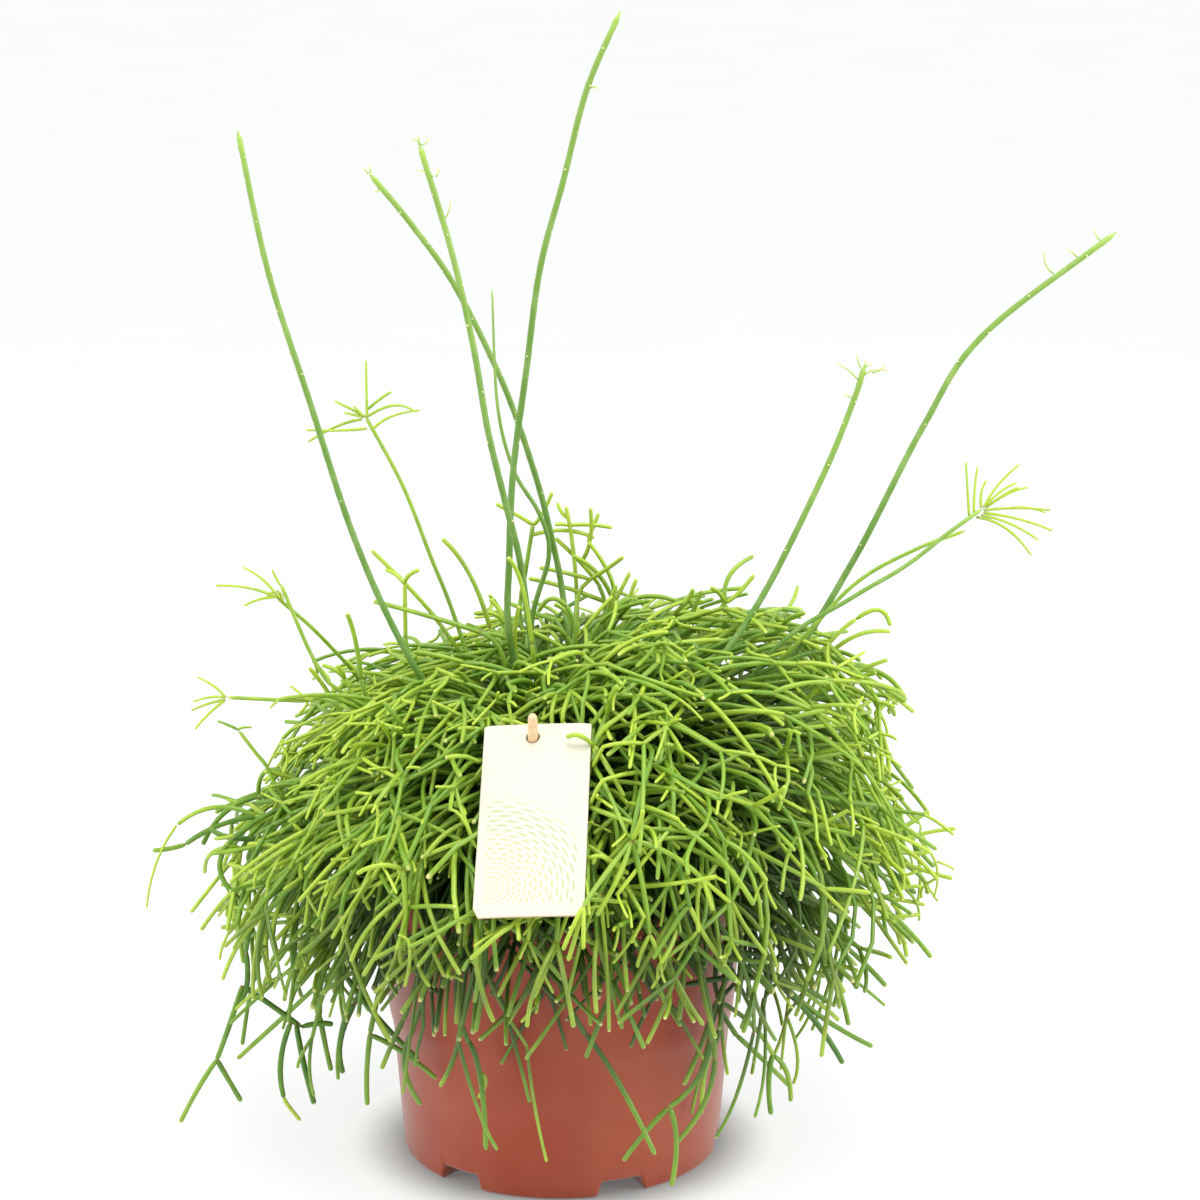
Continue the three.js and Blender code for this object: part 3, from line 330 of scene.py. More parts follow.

# Stems of the dome placed one by one: the points where each starts, bends and ends in millimetres,
# then its age. One that starts on an earlier one grows from it, and the others get a foot.
SPRIGS = (
    ((-31, 10, 234), (-40, 10, 259), (-52, 10, 275), 0.7),
    ((-53, 10, 236), (-64, 10, 250), (-83, 10, 270), 0.8),
    ((-68, 0, 232), (-68, 0, 245), (-68, 0, 257), 0.8),
    ((-68, 0, 257), (-72, 4, 260), (-77, 6, 262), 0.9),
    ((-68, 0, 257), (-66, -3, 261), (-61, -5, 264), 0.9),
    ((-34, -10, 237), (-56, -10, 244), (-82, -10, 251), 0.6),
    ((-86, -20, 218), (-88, -20, 236), (-91, -20, 248), 0.6),
    ((7, 48, 223), (6, 48, 255), (2, 48, 283), 0.8),
    ((3, 48, 274), (0, 46, 275), (-3, 44, 275), 1),
    ((3, 48, 277), (0, 50, 280), (-2, 52, 284), 1),
    ((3, 48, 274), (12, 50, 274), (23, 53, 272), 0.95),
    ((17, 50, 246), (10, 50, 255), (-3, 50, 268), 0.7),
    ((9, 50, 257), (13, 47, 268), (13, 44, 283), 0.85),
    ((12, 48, 266), (14, 50, 272), (17, 52, 279), 0.95),
    ((23, 46, 240), (22, 46, 251), (12, 46, 267), 0.75),
    ((23, 44, 241), (16, 44, 253), (5, 44, 261), 0.6),
    ((13, 44, 250), (21, 40, 256), (28, 36, 262), 0.8),
    ((21, 40, 234), (26, 40, 244), (31, 40, 254), 0.75),
    ((13, 44, 250), (-1, 42, 254), (-10, 40, 256), 0.8),
    ((20, 46, 239), (1, 46, 246), (-15, 46, 250), 0.75),
    ((31, 40, 241), (32, 40, 246), (34, 40, 251), 0.85),
    ((21, 36, 224), (21, 36, 237), (25, 36, 249), 0.6),
    ((6, 30, 225), (16, 30, 237), (23, 30, 245), 0.9),
    ((-19, 50, 239), (-16, 50, 256), (-13, 50, 274), 0.55),
    ((-13, 50, 274), (-9, 48, 279), (-4, 46, 290), 0.95),
    ((-13, 50, 274), (-20, 52, 278), (-30, 54, 283), 0.9),
    ((-14, 50, 269), (1, 52, 271), (15, 54, 267), 0.9),
    ((-12, -18, 233), (-16, -18, 259), (-22, -18, 272), 0.85),
    ((-18, 0, 219), (-20, 0, 232), (-18, 0, 247), 0.8),
    ((-25, 20, 234), (-30, 20, 239), (-39, 20, 239), 0.75),
    ((-26, 20, 236), (-28, 22, 241), (-32, 24, 245), 0.9),
    ((3, 10, 244), (-4, 10, 248), (-10, 10, 242), 0.6),
    ((6, 12, 232), (3, 12, 241), (-3, 12, 245), 0.7),
    ((3, 16, 229), (-3, 16, 234), (-9, 16, 233), 0.7),
    ((3, -6, 228), (-5, -6, 233), (-13, -6, 237), 0.7),
    ((-24, -14, 218), (-6, -14, 229), (17, -14, 232), 0.5),
    ((17, -14, 232), (24, -14, 231), (32, -14, 226), 0.6),
    ((-37, -6, 220), (-29, -6, 228), (-21, -6, 233), 0.25),
    ((-21, -6, 233), (-31, -3, 235), (-41, 0, 233), 0.6),
    ((17, 26, 233), (26, 26, 240), (40, 26, 244), 0.5),
    ((32, 30, 244), (42, 30, 245), (51, 30, 243), 0.6),
    ((50, 24, 238), (56, 24, 244), (59, 24, 250), 0.7),
    ((57, 24, 234), (60, 24, 242), (63, 24, 249), 0.6),
    ((73, 16, 228), (73, 16, 236), (73, 16, 245), 0.35),
    ((73, 16, 245), (70, 13, 250), (66, 10, 253), 0.75),
    ((73, 16, 245), (79, 18, 249), (86, 20, 257), 0.8),
    ((73, 16, 245), (75, 18, 257), (86, 22, 265), 0.6),
    ((44, 10, 227), (79, 10, 241), (107, 10, 242), 0.4),
    ((61, 0, 225), (88, 0, 236), (106, 0, 243), 0.5),
    ((113, 0, 224), (122, 2, 234), (130, 4, 240), 0.75),
    ((130, 4, 240), (140, 5, 244), (145, 4, 237), 0.8),
    ((120, 0, 227), (132, -3, 235), (145, -4, 236), 0.8),
    ((134, 0, 219), (145, 0, 214), (152, 0, 204), 0.6),
    ((109, -10, 223), (123, -10, 221), (138, -10, 220), 0.6),
    ((131, -10, 220), (137, -10, 223), (143, -10, 225), 0.8),
    ((99, -30, 224), (120, -30, 226), (149, -30, 211), 0.5),
    ((140, -30, 216), (147, -30, 211), (153, -29, 206), 0.95),
    ((-98, -20, 208), (-103, -20, 217), (-108, -20, 224), 0.7),
    ((-91, -20, 214), (-95, -20, 221), (-103, -20, 225), 0.7),
    ((-93, -20, 219), (-94, -22, 222), (-96, -24, 226), 0.7),
    ((140, -20, 145), (151, -20, 152), (162, -20, 159), 0.6),
    ((139, -22, 142), (156, -22, 149), (173, -22, 152), 0.85),
    ((142, -22, 143), (151, -22, 141), (161, -22, 141), 0.8),
    ((126, -5, 160), (141, -5, 154), (154, -5, 145), 0.4),
    ((136, 0, 174), (142, 0, 172), (147, 0, 168), 0.6),
    ((139, 0, 170), (146, 0, 165), (152, 0, 159), 0.6),
    ((136, -8, 166), (144, -8, 160), (151, -8, 149), 0.3),
    ((151, -8, 149), (158, -8, 139), (166, -8, 130), 0.45),
    ((151, -14, 134), (162, -14, 130), (173, -14, 127), 0.8),
    ((149, -10, 134), (160, -10, 126), (163, -10, 118), 0.5),
    ((139, -30, 140), (148, -30, 136), (152, -30, 129), 0.95),
    ((143, -34, 125), (150, -34, 129), (158, -34, 129), 0.95),
    ((141, -34, 124), (150, -34, 123), (159, -34, 121), 0.9),
    ((144, -34, 122), (147, -34, 119), (150, -34, 114), 0.8),
    ((142, -20, 113), (147, -20, 107), (150, -20, 98), 0.9),
    ((145, -24, 114), (155, -24, 104), (163, -24, 94), 0.5),
    ((-131, -16, 156), (-149, -16, 152), (-165, -16, 143), 0.25),
    ((-165, -16, 143), (-172, -16, 141), (-180, -16, 140), 0.5),
    ((-133, -20, 157), (-151, -20, 161), (-168, -20, 153), 0.6),
    ((-133, -10, 163), (-148, -10, 156), (-158, -10, 141), 0.3),
    ((-119, -8, 172), (-130, -8, 174), (-134, -8, 163), 0.5),
    ((-141, -30, 151), (-148, -30, 137), (-139, -30, 123), 0.25),
    ((-128, -34, 149), (-139, -34, 146), (-152, -34, 144), 0.6),
    ((-115, -40, 147), (-126, -40, 150), (-135, -40, 150), 0.85),
    ((-130, -26, 149), (-144, -26, 149), (-153, -26, 153), 0.15),
    ((-139, -28, 152), (-144, -28, 150), (-151, -28, 149), 0.95),
    ((38, -110, 207), (33, -128, 195), (30, -140, 182), 0.35),
    ((41, -126, 188), (62, -138, 177), (78, -140, 156), 0.55),
    ((23, -80, 228), (20, -92, 221), (15, -104, 211), 0.4),
    ((-50, -110, 190), (-55, -122, 179), (-61, -130, 167), 0.4),
    ((-55, -125, 161), (-56, -132, 150), (-57, -134, 138), 0.6),
    ((30, -140, 182), (20, -150, 172), (11, -161, 162), 0.6),
    ((30, -140, 182), (24, -150, 169), (16, -155, 156), 0.65),
    ((30, -140, 182), (33, -146, 191), (34, -148, 197), 0.8),
    ((30, -140, 182), (45, -142, 177), (58, -140, 166), 0.6),
    ((30, -140, 182), (34, -146, 166), (37, -148, 146), 0.5),
    ((58, -140, 166), (64, -141, 161), (69, -142, 157), 1),
    ((58, -140, 166), (60, -142, 160), (62, -142, 154), 0.9),
    ((37, -148, 146), (34, -150, 140), (32, -150, 133), 1),
    ((37, -148, 146), (40, -150, 140), (42, -150, 135), 1),
    ((11, -161, 162), (7, -165, 155), (3, -167, 146), 1),
    ((11, -161, 162), (8, -164, 151), (5, -165, 141), 0.9),
    ((11, -161, 162), (11, -164, 154), (11, -164, 146), 1),
    ((15, -104, 211), (21, -114, 204), (27, -120, 194), 0.6),
    ((15, -104, 211), (9, -107, 216), (4, -107, 215), 0.8),
    ((-61, -130, 167), (-70, -134, 170), (-79, -136, 167), 0.8),
    ((-61, -130, 167), (-60, -136, 152), (-61, -138, 135), 0.7),
    ((-57, -134, 138), (-62, -136, 136), (-61, -137, 128), 1),
    ((-57, -134, 138), (-55, -136, 129), (-50, -137, 121), 1),
)
# Stems that hang over the pot and beside it, laid out as the sprigs are.
HANGERS = (
    ((-37, -106, 86), (-32, -106, 70), (-30, -106, 38), 0.35),
    ((-32, -106, 72), (-30, -107, 68), (-33, -108, 61), 0.9),
    ((63, -106, 87), (58, -106, 70), (46, -106, 57), 0.3),
    ((46, -106, 57), (36, -107, 46), (27, -108, 34), 0.45),
    ((46, -106, 57), (49, -105, 42), (47, -104, 22), 0.45),
    ((65, -100, 77), (61, -100, 57), (49, -100, 39), 0.5),
    ((11, -110, 91), (25, -110, 70), (40, -110, 40), 0.4),
    ((-41, -103, 85), (-44, -103, 75), (-49, -103, 65), 0.6),
    ((-61, -98, 86), (-64, -98, 70), (-58, -98, 53), 0.4),
    ((-64, -96, 92), (-69, -96, 81), (-74, -96, 69), 0.6),
    ((-61, -80, 120), (-67, -84, 113), (-66, -86, 101), 0.95),
    ((-61, -80, 120), (-58, -86, 109), (-53, -88, 100), 0.95),
    ((-135, -50, 106), (-135, -50, 90), (-139, -50, 83), 0.15),
    ((-137, -50, 90), (-143, -50, 72), (-149, -50, 56), 0.25),
    ((-149, -50, 56), (-157, -53, 44), (-165, -55, 29), 0.5),
    ((-149, -50, 56), (-145, -47, 46), (-140, -44, 34), 0.3),
    ((-136, -50, 89), (-126, -46, 80), (-113, -42, 68), 0.1),
    ((-113, -42, 68), (-105, -40, 69), (-99, -38, 68), 0.15),
    ((-117, -44, 71), (-122, -44, 53), (-121, -44, 36), 0.15),
    ((-121, -44, 36), (-119, -44, 32), (-114, -44, 25), 1),
    ((-115, -43, 70), (-111, -50, 54), (-106, -54, 38), 0.1),
    ((-105, -40, 73), (-103, -40, 59), (-101, -40, 46), 0.35),
    ((-88, -50, 83), (-95, -50, 65), (-94, -50, 50), 0.1),
    ((-81, -60, 73), (-83, -60, 55), (-83, -60, 39), 0.4),
    ((-97, -46, 96), (-119, -46, 75), (-142, -46, 53), 0.5),
    ((-81, -60, 71), (-68, -62, 64), (-53, -66, 52), 0.35),
    ((-92, -56, 97), (-80, -56, 80), (-60, -60, 60), 0.1),
    ((75, -66, 131), (73, -66, 107), (67, -66, 89), 0.25),
    ((67, -66, 89), (61, -68, 71), (53, -72, 53), 0.55),
    ((67, -66, 89), (69, -65, 80), (66, -64, 67), 0.2),
    ((66, -64, 67), (62, -66, 55), (61, -66, 37), 0.6),
    ((67, -66, 89), (82, -62, 77), (92, -58, 61), 0.6),
    ((92, -58, 61), (98, -57, 53), (100, -56, 39), 0.5),
    ((92, -58, 62), (90, -62, 51), (91, -66, 37), 0.3),
    ((112, -40, 112), (121, -40, 87), (126, -40, 68), 0.5),
    ((112, -40, 112), (127, -34, 100), (142, -30, 84), 0.35),
    ((67, -66, 112), (93, -62, 106), (114, -60, 97), 0.55),
    ((96, -50, 89), (111, -50, 73), (123, -50, 54), 0.05),
    ((97, -50, 90), (114, -46, 74), (136, -42, 60), 0.3),
    ((52, -76, 99), (88, -66, 99), (117, -56, 84), 0.15),
    ((130, -40, 123), (144, -40, 117), (150, -40, 100), 0.75),
    ((76, -54, 69), (89, -54, 56), (100, -54, 44), 0.5),
)


def srgb(code):
    """Linear colour of a six-digit sRGB code: a power of 2.4 above the straight dark toe."""
    channels = np.array([int(code[i:i + 2], 16) for i in (0, 2, 4)]) / 255
    linear = np.where(channels > 0.04045, ((channels + 0.055) / 1.055) ** 2.4, channels / 12.92)
    return (*linear.tolist(), 1.0)


def dimmed(tone, share):
    """A colour with a share of its brightness."""
    return (*(share * value for value in tone[:3]), 1.0)


def colour(name, description, code):
    """A colour property with an sRGB code as its default."""
    return FloatVectorProperty(
        name=name, description=description, default=srgb(code), size=4, min=0, max=1, subtype="COLOR")


def length(name, description, millimetres):
    """A length property with its default in millimetres."""
    return FloatProperty(
        name=name, description=description, default=millimetres * MM, min=0, unit="LENGTH")


def amount(name, description, default, least=0):
    """A property for a number of things."""
    return IntProperty(name=name, description=description, default=default, min=least)


def measure(name, description, default, least=0):
    """A property for a plain number."""
    return FloatProperty(name=name, description=description, default=default, min=least)


class PotSettings(bpy.types.PropertyGroup):
    """Colours and mesh of the pot and its soil"""

    plastic: colour("Plastic", "Colour of the moulded pot", "983516")
    worn: colour("Worn Plastic", "Colour of scuffed and dusty plastic", "b86c50")
    peat: colour("Peat", "Colour of dry peat", "4a3828")
    hollow_peat: colour("Hollow Peat", "Colour of the peat's dark hollows", "150e09")
    columns: amount("Columns", "Points round the pot", 540, 36)
    peat_lumps: length("Peat Lumps", "Height of the lumps in the soil", 1.6)


class StemSettings(bpy.types.PropertyGroup):
    """Counts, sizes and colours of the dome's stems"""

    radius: length("Stem Radius", "Radius of a grown stem", 1.14)
    twig_radius: length("Twig Radius", "Radius of a young twig", 0.7)
    mains: amount("Main Stems", "Stems that rise from the soil", 340, 13)
    arches: amount("Arching Stems", "Long stems on the dome", 400)
    fringe: amount("Fringe", "Stems that hang under the dome's edge", 68)
    first_reach: length("First Whorl", "Usual length of a stem in the first whorl", 60)
    second_reach: length("Second Whorl", "Usual length of a stem in the second whorl", 33)
    twig_reach: length("Twigs", "Usual length of a young twig", 12)
    old: colour("Old Stems", "Colour of the oldest stems", "44761d")
    grown: colour("Grown Stems", "Colour of grown stems", "7aa32c")
    young: colour("Young Stems", "Colour of this year's stems", "b2cb3e")
    # Painted shade: stems are darkened towards this colour deep in the dome and in front under its edge.
    deep: colour("Shaded Stems", "Colour of stems deep in the dome", "1d3d12")
    tip: colour("Tips", "Colour of the dry point at a tip", "eadf9a")
    scar: colour("Joints", "Colour of the scar at a joint", "a98a55")


class CaneSettings(bpy.types.PropertyGroup):
    """Sizes and colours of the long canes"""

    radius: length("Cane Radius", "Radius of a cane at its foot", 1.62)
    hair_radius: length("Hair Radius", "Radius of a hair-thin shoot", 0.48)
    spacing: length("Areole Spacing", "Distance between areoles along a cane", 9)
    skin: colour("Cane", "Colour of a cane's skin", "5b872c")
    bloom: colour("Bloom", "Colour of the pale bloom on a cane", "93b266")
    fresh: colour("Fresh End", "Colour of a cane's growing end", "aacb58")
    wool: colour("Wool", "Colour of the areoles' wool", "e2e2b4")
    shoot: colour("Shoots", "Colour of the youngest shoots", "ecd27c")


class CardSettings(bpy.types.PropertyGroup):
    """Colours of the plant card and its stick"""

    sheet: colour("Sheet", "Colour of the card", "d6d5c2")
    print_green: colour("Green Print", "Colour of the print's green lines", "a9bd88")
    print_warm: colour("Warm Print", "Colour of the print's warm lines", "dcbb90")
    edge: colour("Edge", "Colour of the card's cut edge", "c79a72")
    wood: colour("Wood", "Colour of the stick", "f3d2a8")
    grain: colour("Grain", "Colour of the stick's grain", "cf9f72")
    bow: length("Bow", "How far the card bows across its width", 0.6)


class StageSettings(bpy.types.PropertyGroup):
    """Floor, light and camera"""

    floor: colour("Floor", "Colour of the floor", "fcfefd")
    sky: measure("Sky", "Strength of the light from all round", 0.75)
    key: measure("Key Light", "Power of the overhead light in watts", 24)
    side: measure("Side Light", "Power of each side light in watts", 15)
    lens: measure("Lens", "Focal length in millimetres", 83, 1)


def draw(stems, trait):
    """A repeatable number from 0 to 1 for one trait of each stem: the fraction of a large sine."""
    value = np.sin(np.asarray(stems, float) * 12.9898 + trait * 78.233) * 43758.5453
    return value - np.floor(value)


def between(low, high, stems, trait):
    """A repeatable number between two limits for each stem."""
    return low + (high - low) * draw(stems, trait)


def unit(vectors):
    """Vectors divided by their lengths."""
    return vectors / np.maximum(np.linalg.norm(vectors, axis=-1, keepdims=True), 1e-12)


def dot(first, second):
    """Products along the last axis, summed, with that axis kept."""
    return np.sum(first * second, axis=-1, keepdims=True)


def smooth(value):
    """A soft step from 0 to 1: three times the square less twice the cube."""
    value = np.clip(value, 0, 1)
    return value * value * (3 - 2 * value)


def turns(count):
    """Even angles round a circle."""
    return 2 * np.pi * np.arange(count) / count


def polar(radius, angle, height):
    """Points from their distance to the upright axis, angle round it and height."""
    return np.stack(np.broadcast_arrays(radius * np.cos(angle), radius * np.sin(angle), height), -1)


def turned(vector, axis, angle):
    """A vector turned about a unit axis: its part across the axis swings by cosine and sine."""
    return (vector * np.cos(angle) + np.cross(axis, vector) * np.sin(angle)
            + axis * np.dot(axis, vector) * (1 - np.cos(angle)))


def card_directions():
    """The card's own unit directions: across it, down it and out of its face."""
    down = np.array([0, -np.sin(CARD_TILT), -np.cos(CARD_TILT)])
    face = np.array([0, -np.cos(CARD_TILT), np.sin(CARD_TILT)])
    across = turned(np.array([1.0, 0, 0]), face, -CARD_ROLL)
    down = turned(down, face, -CARD_ROLL)
    return [turned(vector, UP, CARD_YAW) for vector in (across, down, face)]


CARD_ACROSS, CARD_DOWN, CARD_FACE = card_directions()
CARD_HOLE = CARD_TOP + CARD_DOWN * CARD_HOLE_DROP + CARD_ACROSS * CARD_HOLE_ACROSS
STICK_ALONG = np.array([0, -np.sin(STICK_LEAN), np.cos(STICK_LEAN)])
STICK_TIP = CARD_HOLE + STICK_ALONG * STICK_BEYOND_CARD
STICK_FOOT = CARD_HOLE + STICK_ALONG * (STICK_FOOT_HEIGHT - CARD_HOLE[2]) / STICK_ALONG[2]


def dome_reach(from_top, angle):
    """The dome's reach: the crown's, growing to the side's with the sine squared, and a shoulder.

    A bell curve draws in a waist at the left and right, and slow waves make the skin uneven.
    """
    right = np.cos(angle)
    shoulder = SHOULDER * (0.25 + right) * np.maximum(0, np.sin(2 * from_top))
    bell = np.exp(-((from_top - WAIST_ANGLE) / WAIST_SPREAD) ** 2)
    waist = WAIST * (1 + 0.2 * right) * right ** 2 * bell
    lobes = np.sin(5 * angle + 1.7) * np.sin(3 * from_top + 0.4) + 0.7 * np.sin(9 * angle + 4 * from_top)
    side = SIDE_REACH - CROWN_REACH + LOPSIDED * right
    skin = CROWN_REACH + side * np.sin(from_top) ** 2 + shoulder - waist
    return skin + LOBES * np.sin(from_top) * lobes


def skirt_angle(angle):
    """The lowest direction that stems take, lifted at the front by the square of the sine."""
    return np.radians(SKIRT_ANGLE - FRONT_LIFT * np.maximum(0, -np.sin(angle)) ** 2)


def in_dome(share, from_top, angle):
    """Points at a share of the dome's reach from its heart."""
    reach = share * dome_reach(from_top, angle)
    return HEART + polar(reach * np.sin(from_top), angle, reach * np.cos(from_top))


def from_heart(points):
    """Points' ways from the heart, how long they are, and how far the dome reaches along each."""
    out = points - HEART
    distance = np.maximum(np.linalg.norm(out, axis=-1), 1e-9)
    from_top = np.arccos(np.clip(out[..., 2] / distance, -1, 1))
    return out, distance, dome_reach(from_top, np.arctan2(out[..., 1], out[..., 0]))


def within_dome(points, most):
    """Points drawn in towards the heart: little is kept of what lies past a share of the reach."""
    out, distance, reach = from_heart(points)
    limit = most * reach
    kept = np.where(distance > limit, limit + (distance - limit) * KEPT_BEYOND, distance)
    return HEART + out * (kept / distance)[..., None]


def depth_at(points):
    """How deep points lie in the dome, which sets the stems' painted shade: 0 at its skin, 1 where a third of
    its reach is above them.
    """
    _, distance, reach = from_heart(points)
    return smooth((SKIN_SHARE - distance / reach) / SHADED_SHARE)


def pot_radius(height):
    """The pot's outer radius at a height: a straight slope, with the band above its start."""
    return BASE_RADIUS + WALL_SLOPE * height + np.where(height > BAND_START, BAND_PROUD, 0)


def clear_of_pot(points, margin):
    """Points below the rim moved level out of the pot's wall, to whichever side they are on."""
    radius = np.hypot(points[..., 0], points[..., 1])
    height = points[..., 2]
    outside = np.where(height > POT_TOP - 2 * RIM_DEPTH, RIM_RADIUS, pot_radius(height)) + margin
    inside = BASE_RADIUS + WALL_SLOPE * SOIL_EDGE - WALL - margin
    over = smooth((height - POT_TOP - margin) / RIM_EASE)
    past = radius > (outside + inside) / 2
    target = np.where(past, np.maximum(radius, outside), np.minimum(radius, inside))
    scale = (target + (radius - target) * over) / np.maximum(radius, 1e-9)
    return points * np.stack([scale, scale, np.ones_like(scale)], -1)


def clear_of_card(points, margin):
    """Points squeezed behind the card: depth past a start eases exponentially to the limit."""
    place = points - CARD_TOP
    aside = np.maximum(0, np.abs(dot(place, CARD_ACROSS)) - CARD_WIDTH / 2)
    drop = dot(place, CARD_DOWN)
    past = np.maximum(0, np.maximum(-drop, drop - CARD_HEIGHT))
    weight = 1 - smooth(np.hypot(aside, past) / CARD_SIDE_EASE)
    depth = dot(place, CARD_FACE)
    start = -margin - CARD_EASE
    squeezed = start + CARD_EASE * (1 - np.exp(-np.maximum(0, depth - start) / CARD_EASE))
    return points + CARD_FACE * weight * np.where(depth > start, squeezed - depth, 0)


def clear_of_stick(points, margin):
    """Points moved off the stick: their distance becomes the root of its square and a clearance's."""
    place = points - STICK_FOOT
    along = np.clip(dot(place, STICK_ALONG), 0, np.linalg.norm(STICK_TIP - STICK_FOOT))
    off = place - along * STICK_ALONG
    distance = np.maximum(np.linalg.norm(off, axis=-1, keepdims=True), 1e-9)
    clearance = STICK_RADIUS + margin
    return points + off * (np.hypot(distance, clearance) / distance - 1)


def keep_clear(points, margin):
    """Points of stems kept off the pot, the card and the stick."""
    return clear_of_pot(clear_of_card(clear_of_stick(points, margin), margin), margin)


def bunch_at(points):
    """Which bunch points belong to: 0 in the middle, then counted round the ring."""
    angle = np.arctan2(points[..., 1], points[..., 0]) % (2 * np.pi)
    ring = 1 + np.floor(angle / (2 * np.pi) * RING_BUNCHES).astype(int) % RING_BUNCHES
    return np.where(np.hypot(points[..., 0], points[..., 1]) < MIDDLE_RADIUS, 0, ring)


def flow_at(points):
    """The way that stems flow: outwards from the heart and down the dome.

    Waves through space turn it about the way out, so that neighbours lean the same way.
    """
    out = unit(points - HEART)
    level = np.maximum(np.hypot(out[..., 0], out[..., 1]), 0.05)
    downhill = np.stack([out[..., 0] * out[..., 2] / level, out[..., 1] * out[..., 2] / level, -level], -1)
    side = smooth(np.arccos(np.clip(out[..., 2:], -1, 1)) / np.radians(80))
    flow = unit((0.45 + 0.55 * side) * out + (0.9 - 0.6 * side) * downhill)
    broad, fine, drift = (dot(points, wave) for wave in EDDY)
    eddy = BROAD_EDDY * np.sin(broad + 1) + FINE_EDDY * np.sin(fine + 4 * drift)
    across = np.cross(out, flow)
    return flow * np.cos(eddy) + across * np.sin(eddy) + out * dot(out, flow) * (1 - np.cos(eddy))


def deflect(along, opening, turn):
    """Directions that leave others by an opening angle, at a turn round them."""
    side = unit(np.cross(np.array([0.1, 0, 1]), along))
    other = np.cross(along, side)
    swing = side * np.cos(turn)[..., None] + other * np.sin(turn)[..., None]
    return along * np.cos(opening)[..., None] + swing * np.sin(opening)[..., None]


def bezier(controls, share):
    """Points of cubic curves: the four controls weighted by the binomials of the share."""
    t = share[..., None]
    first, second, third, fourth = (controls[:, None, i] for i in range(4))
    return ((1 - t) ** 3 * first + 3 * (1 - t) ** 2 * t * second
            + 3 * (1 - t) * t ** 2 * third + t ** 3 * fourth)


class Growth:
    """Stems of one generation: their curves, sizes and traits, as arrays."""

    def __init__(self, stems, controls, radius, age, bunch, taper=0.9, placed=False):
        self.stems = stems
        self.placed = placed
        self.controls = controls
        self.radius = np.broadcast_to(radius, stems.shape).astype(float)
        self.age = np.broadcast_to(age, stems.shape).astype(float)
        self.bunch = bunch
        self.taper = taper
        self.free = np.ones(stems.shape)

    def headings(self):
        """The directions in which the stems set out."""
        return unit(self.controls[:, 1] - self.controls[:, 0])

    def ends(self):
        """Where the stems end, and their directions there."""
        tips = self.controls[:, 3]
        return tips, unit(tips - self.controls[:, 2])

    def chosen(self, mask):
        """The stems that a mask chooses."""
        part = Growth(
            self.stems[mask], self.controls[mask], self.radius[mask], self.age[mask], self.bunch[mask],
            self.taper, self.placed)
        part.free = self.free[mask]
        return part


def curves(start, direction, reach, sag, stems=None):
    """Cubic curves that leave along a direction and sag with the square of the share.

    Where stems are given, each also bends aside by the square of the share.
    """
    steps = np.array([0, 1, 2, 3]) / 3
    points = start[:, None] + direction[:, None] * (reach[:, None] * steps)[..., None]
    points[..., 2] -= (sag * reach)[:, None] * steps ** 2
    if stems is not None:
        aside = unit(np.cross(direction, UP)) * (between(-0.4, 0.4, stems, 31) * reach)[:, None]
        points += aside[:, None] * (steps ** 2)[:, None]
    return points


def nearest(points, places):
    """For each point, the place that is nearest to it."""
    gaps = np.linalg.norm(points[:, None] - places[None], axis=-1)
    return places[np.argmin(gaps, axis=1)]


def underside_at(points):
    """The height of the dome's underside where points are, lifted at the front and far right."""
    front = np.maximum(0, -unit(points - HEART)[..., 1]) ** 2
    right = np.maximum(0, points[..., 0] / SIDE_REACH) ** 4
    return UNDERSIDE + FRONT_UNDERSIDE * front + RIGHT_UNDERSIDE * right


def above_underside(controls, stems):
    """Stems that would end below the dome's underside, which is higher in front, kept shorter.

    Each is shrunk about its start by the share of its drop that the underside leaves, and some
    are let through to hang.
    """
    start, tip = controls[:, 0], controls[:, 3]
    underside = underside_at(tip) - between(0, HANG_SPREAD, stems, 33) * MM
    drop = np.maximum(start[:, 2] - tip[:, 2], 1 * MM)
    share = np.clip((start[:, 2] - underside) / drop, 0.35, 1)
    share = np.where((tip[:, 2] > underside) | (draw(stems, 34) > LOOSE_FROM), 1, share)
    return start[:, None] + (controls - start[:, None]) * share[:, None, None]


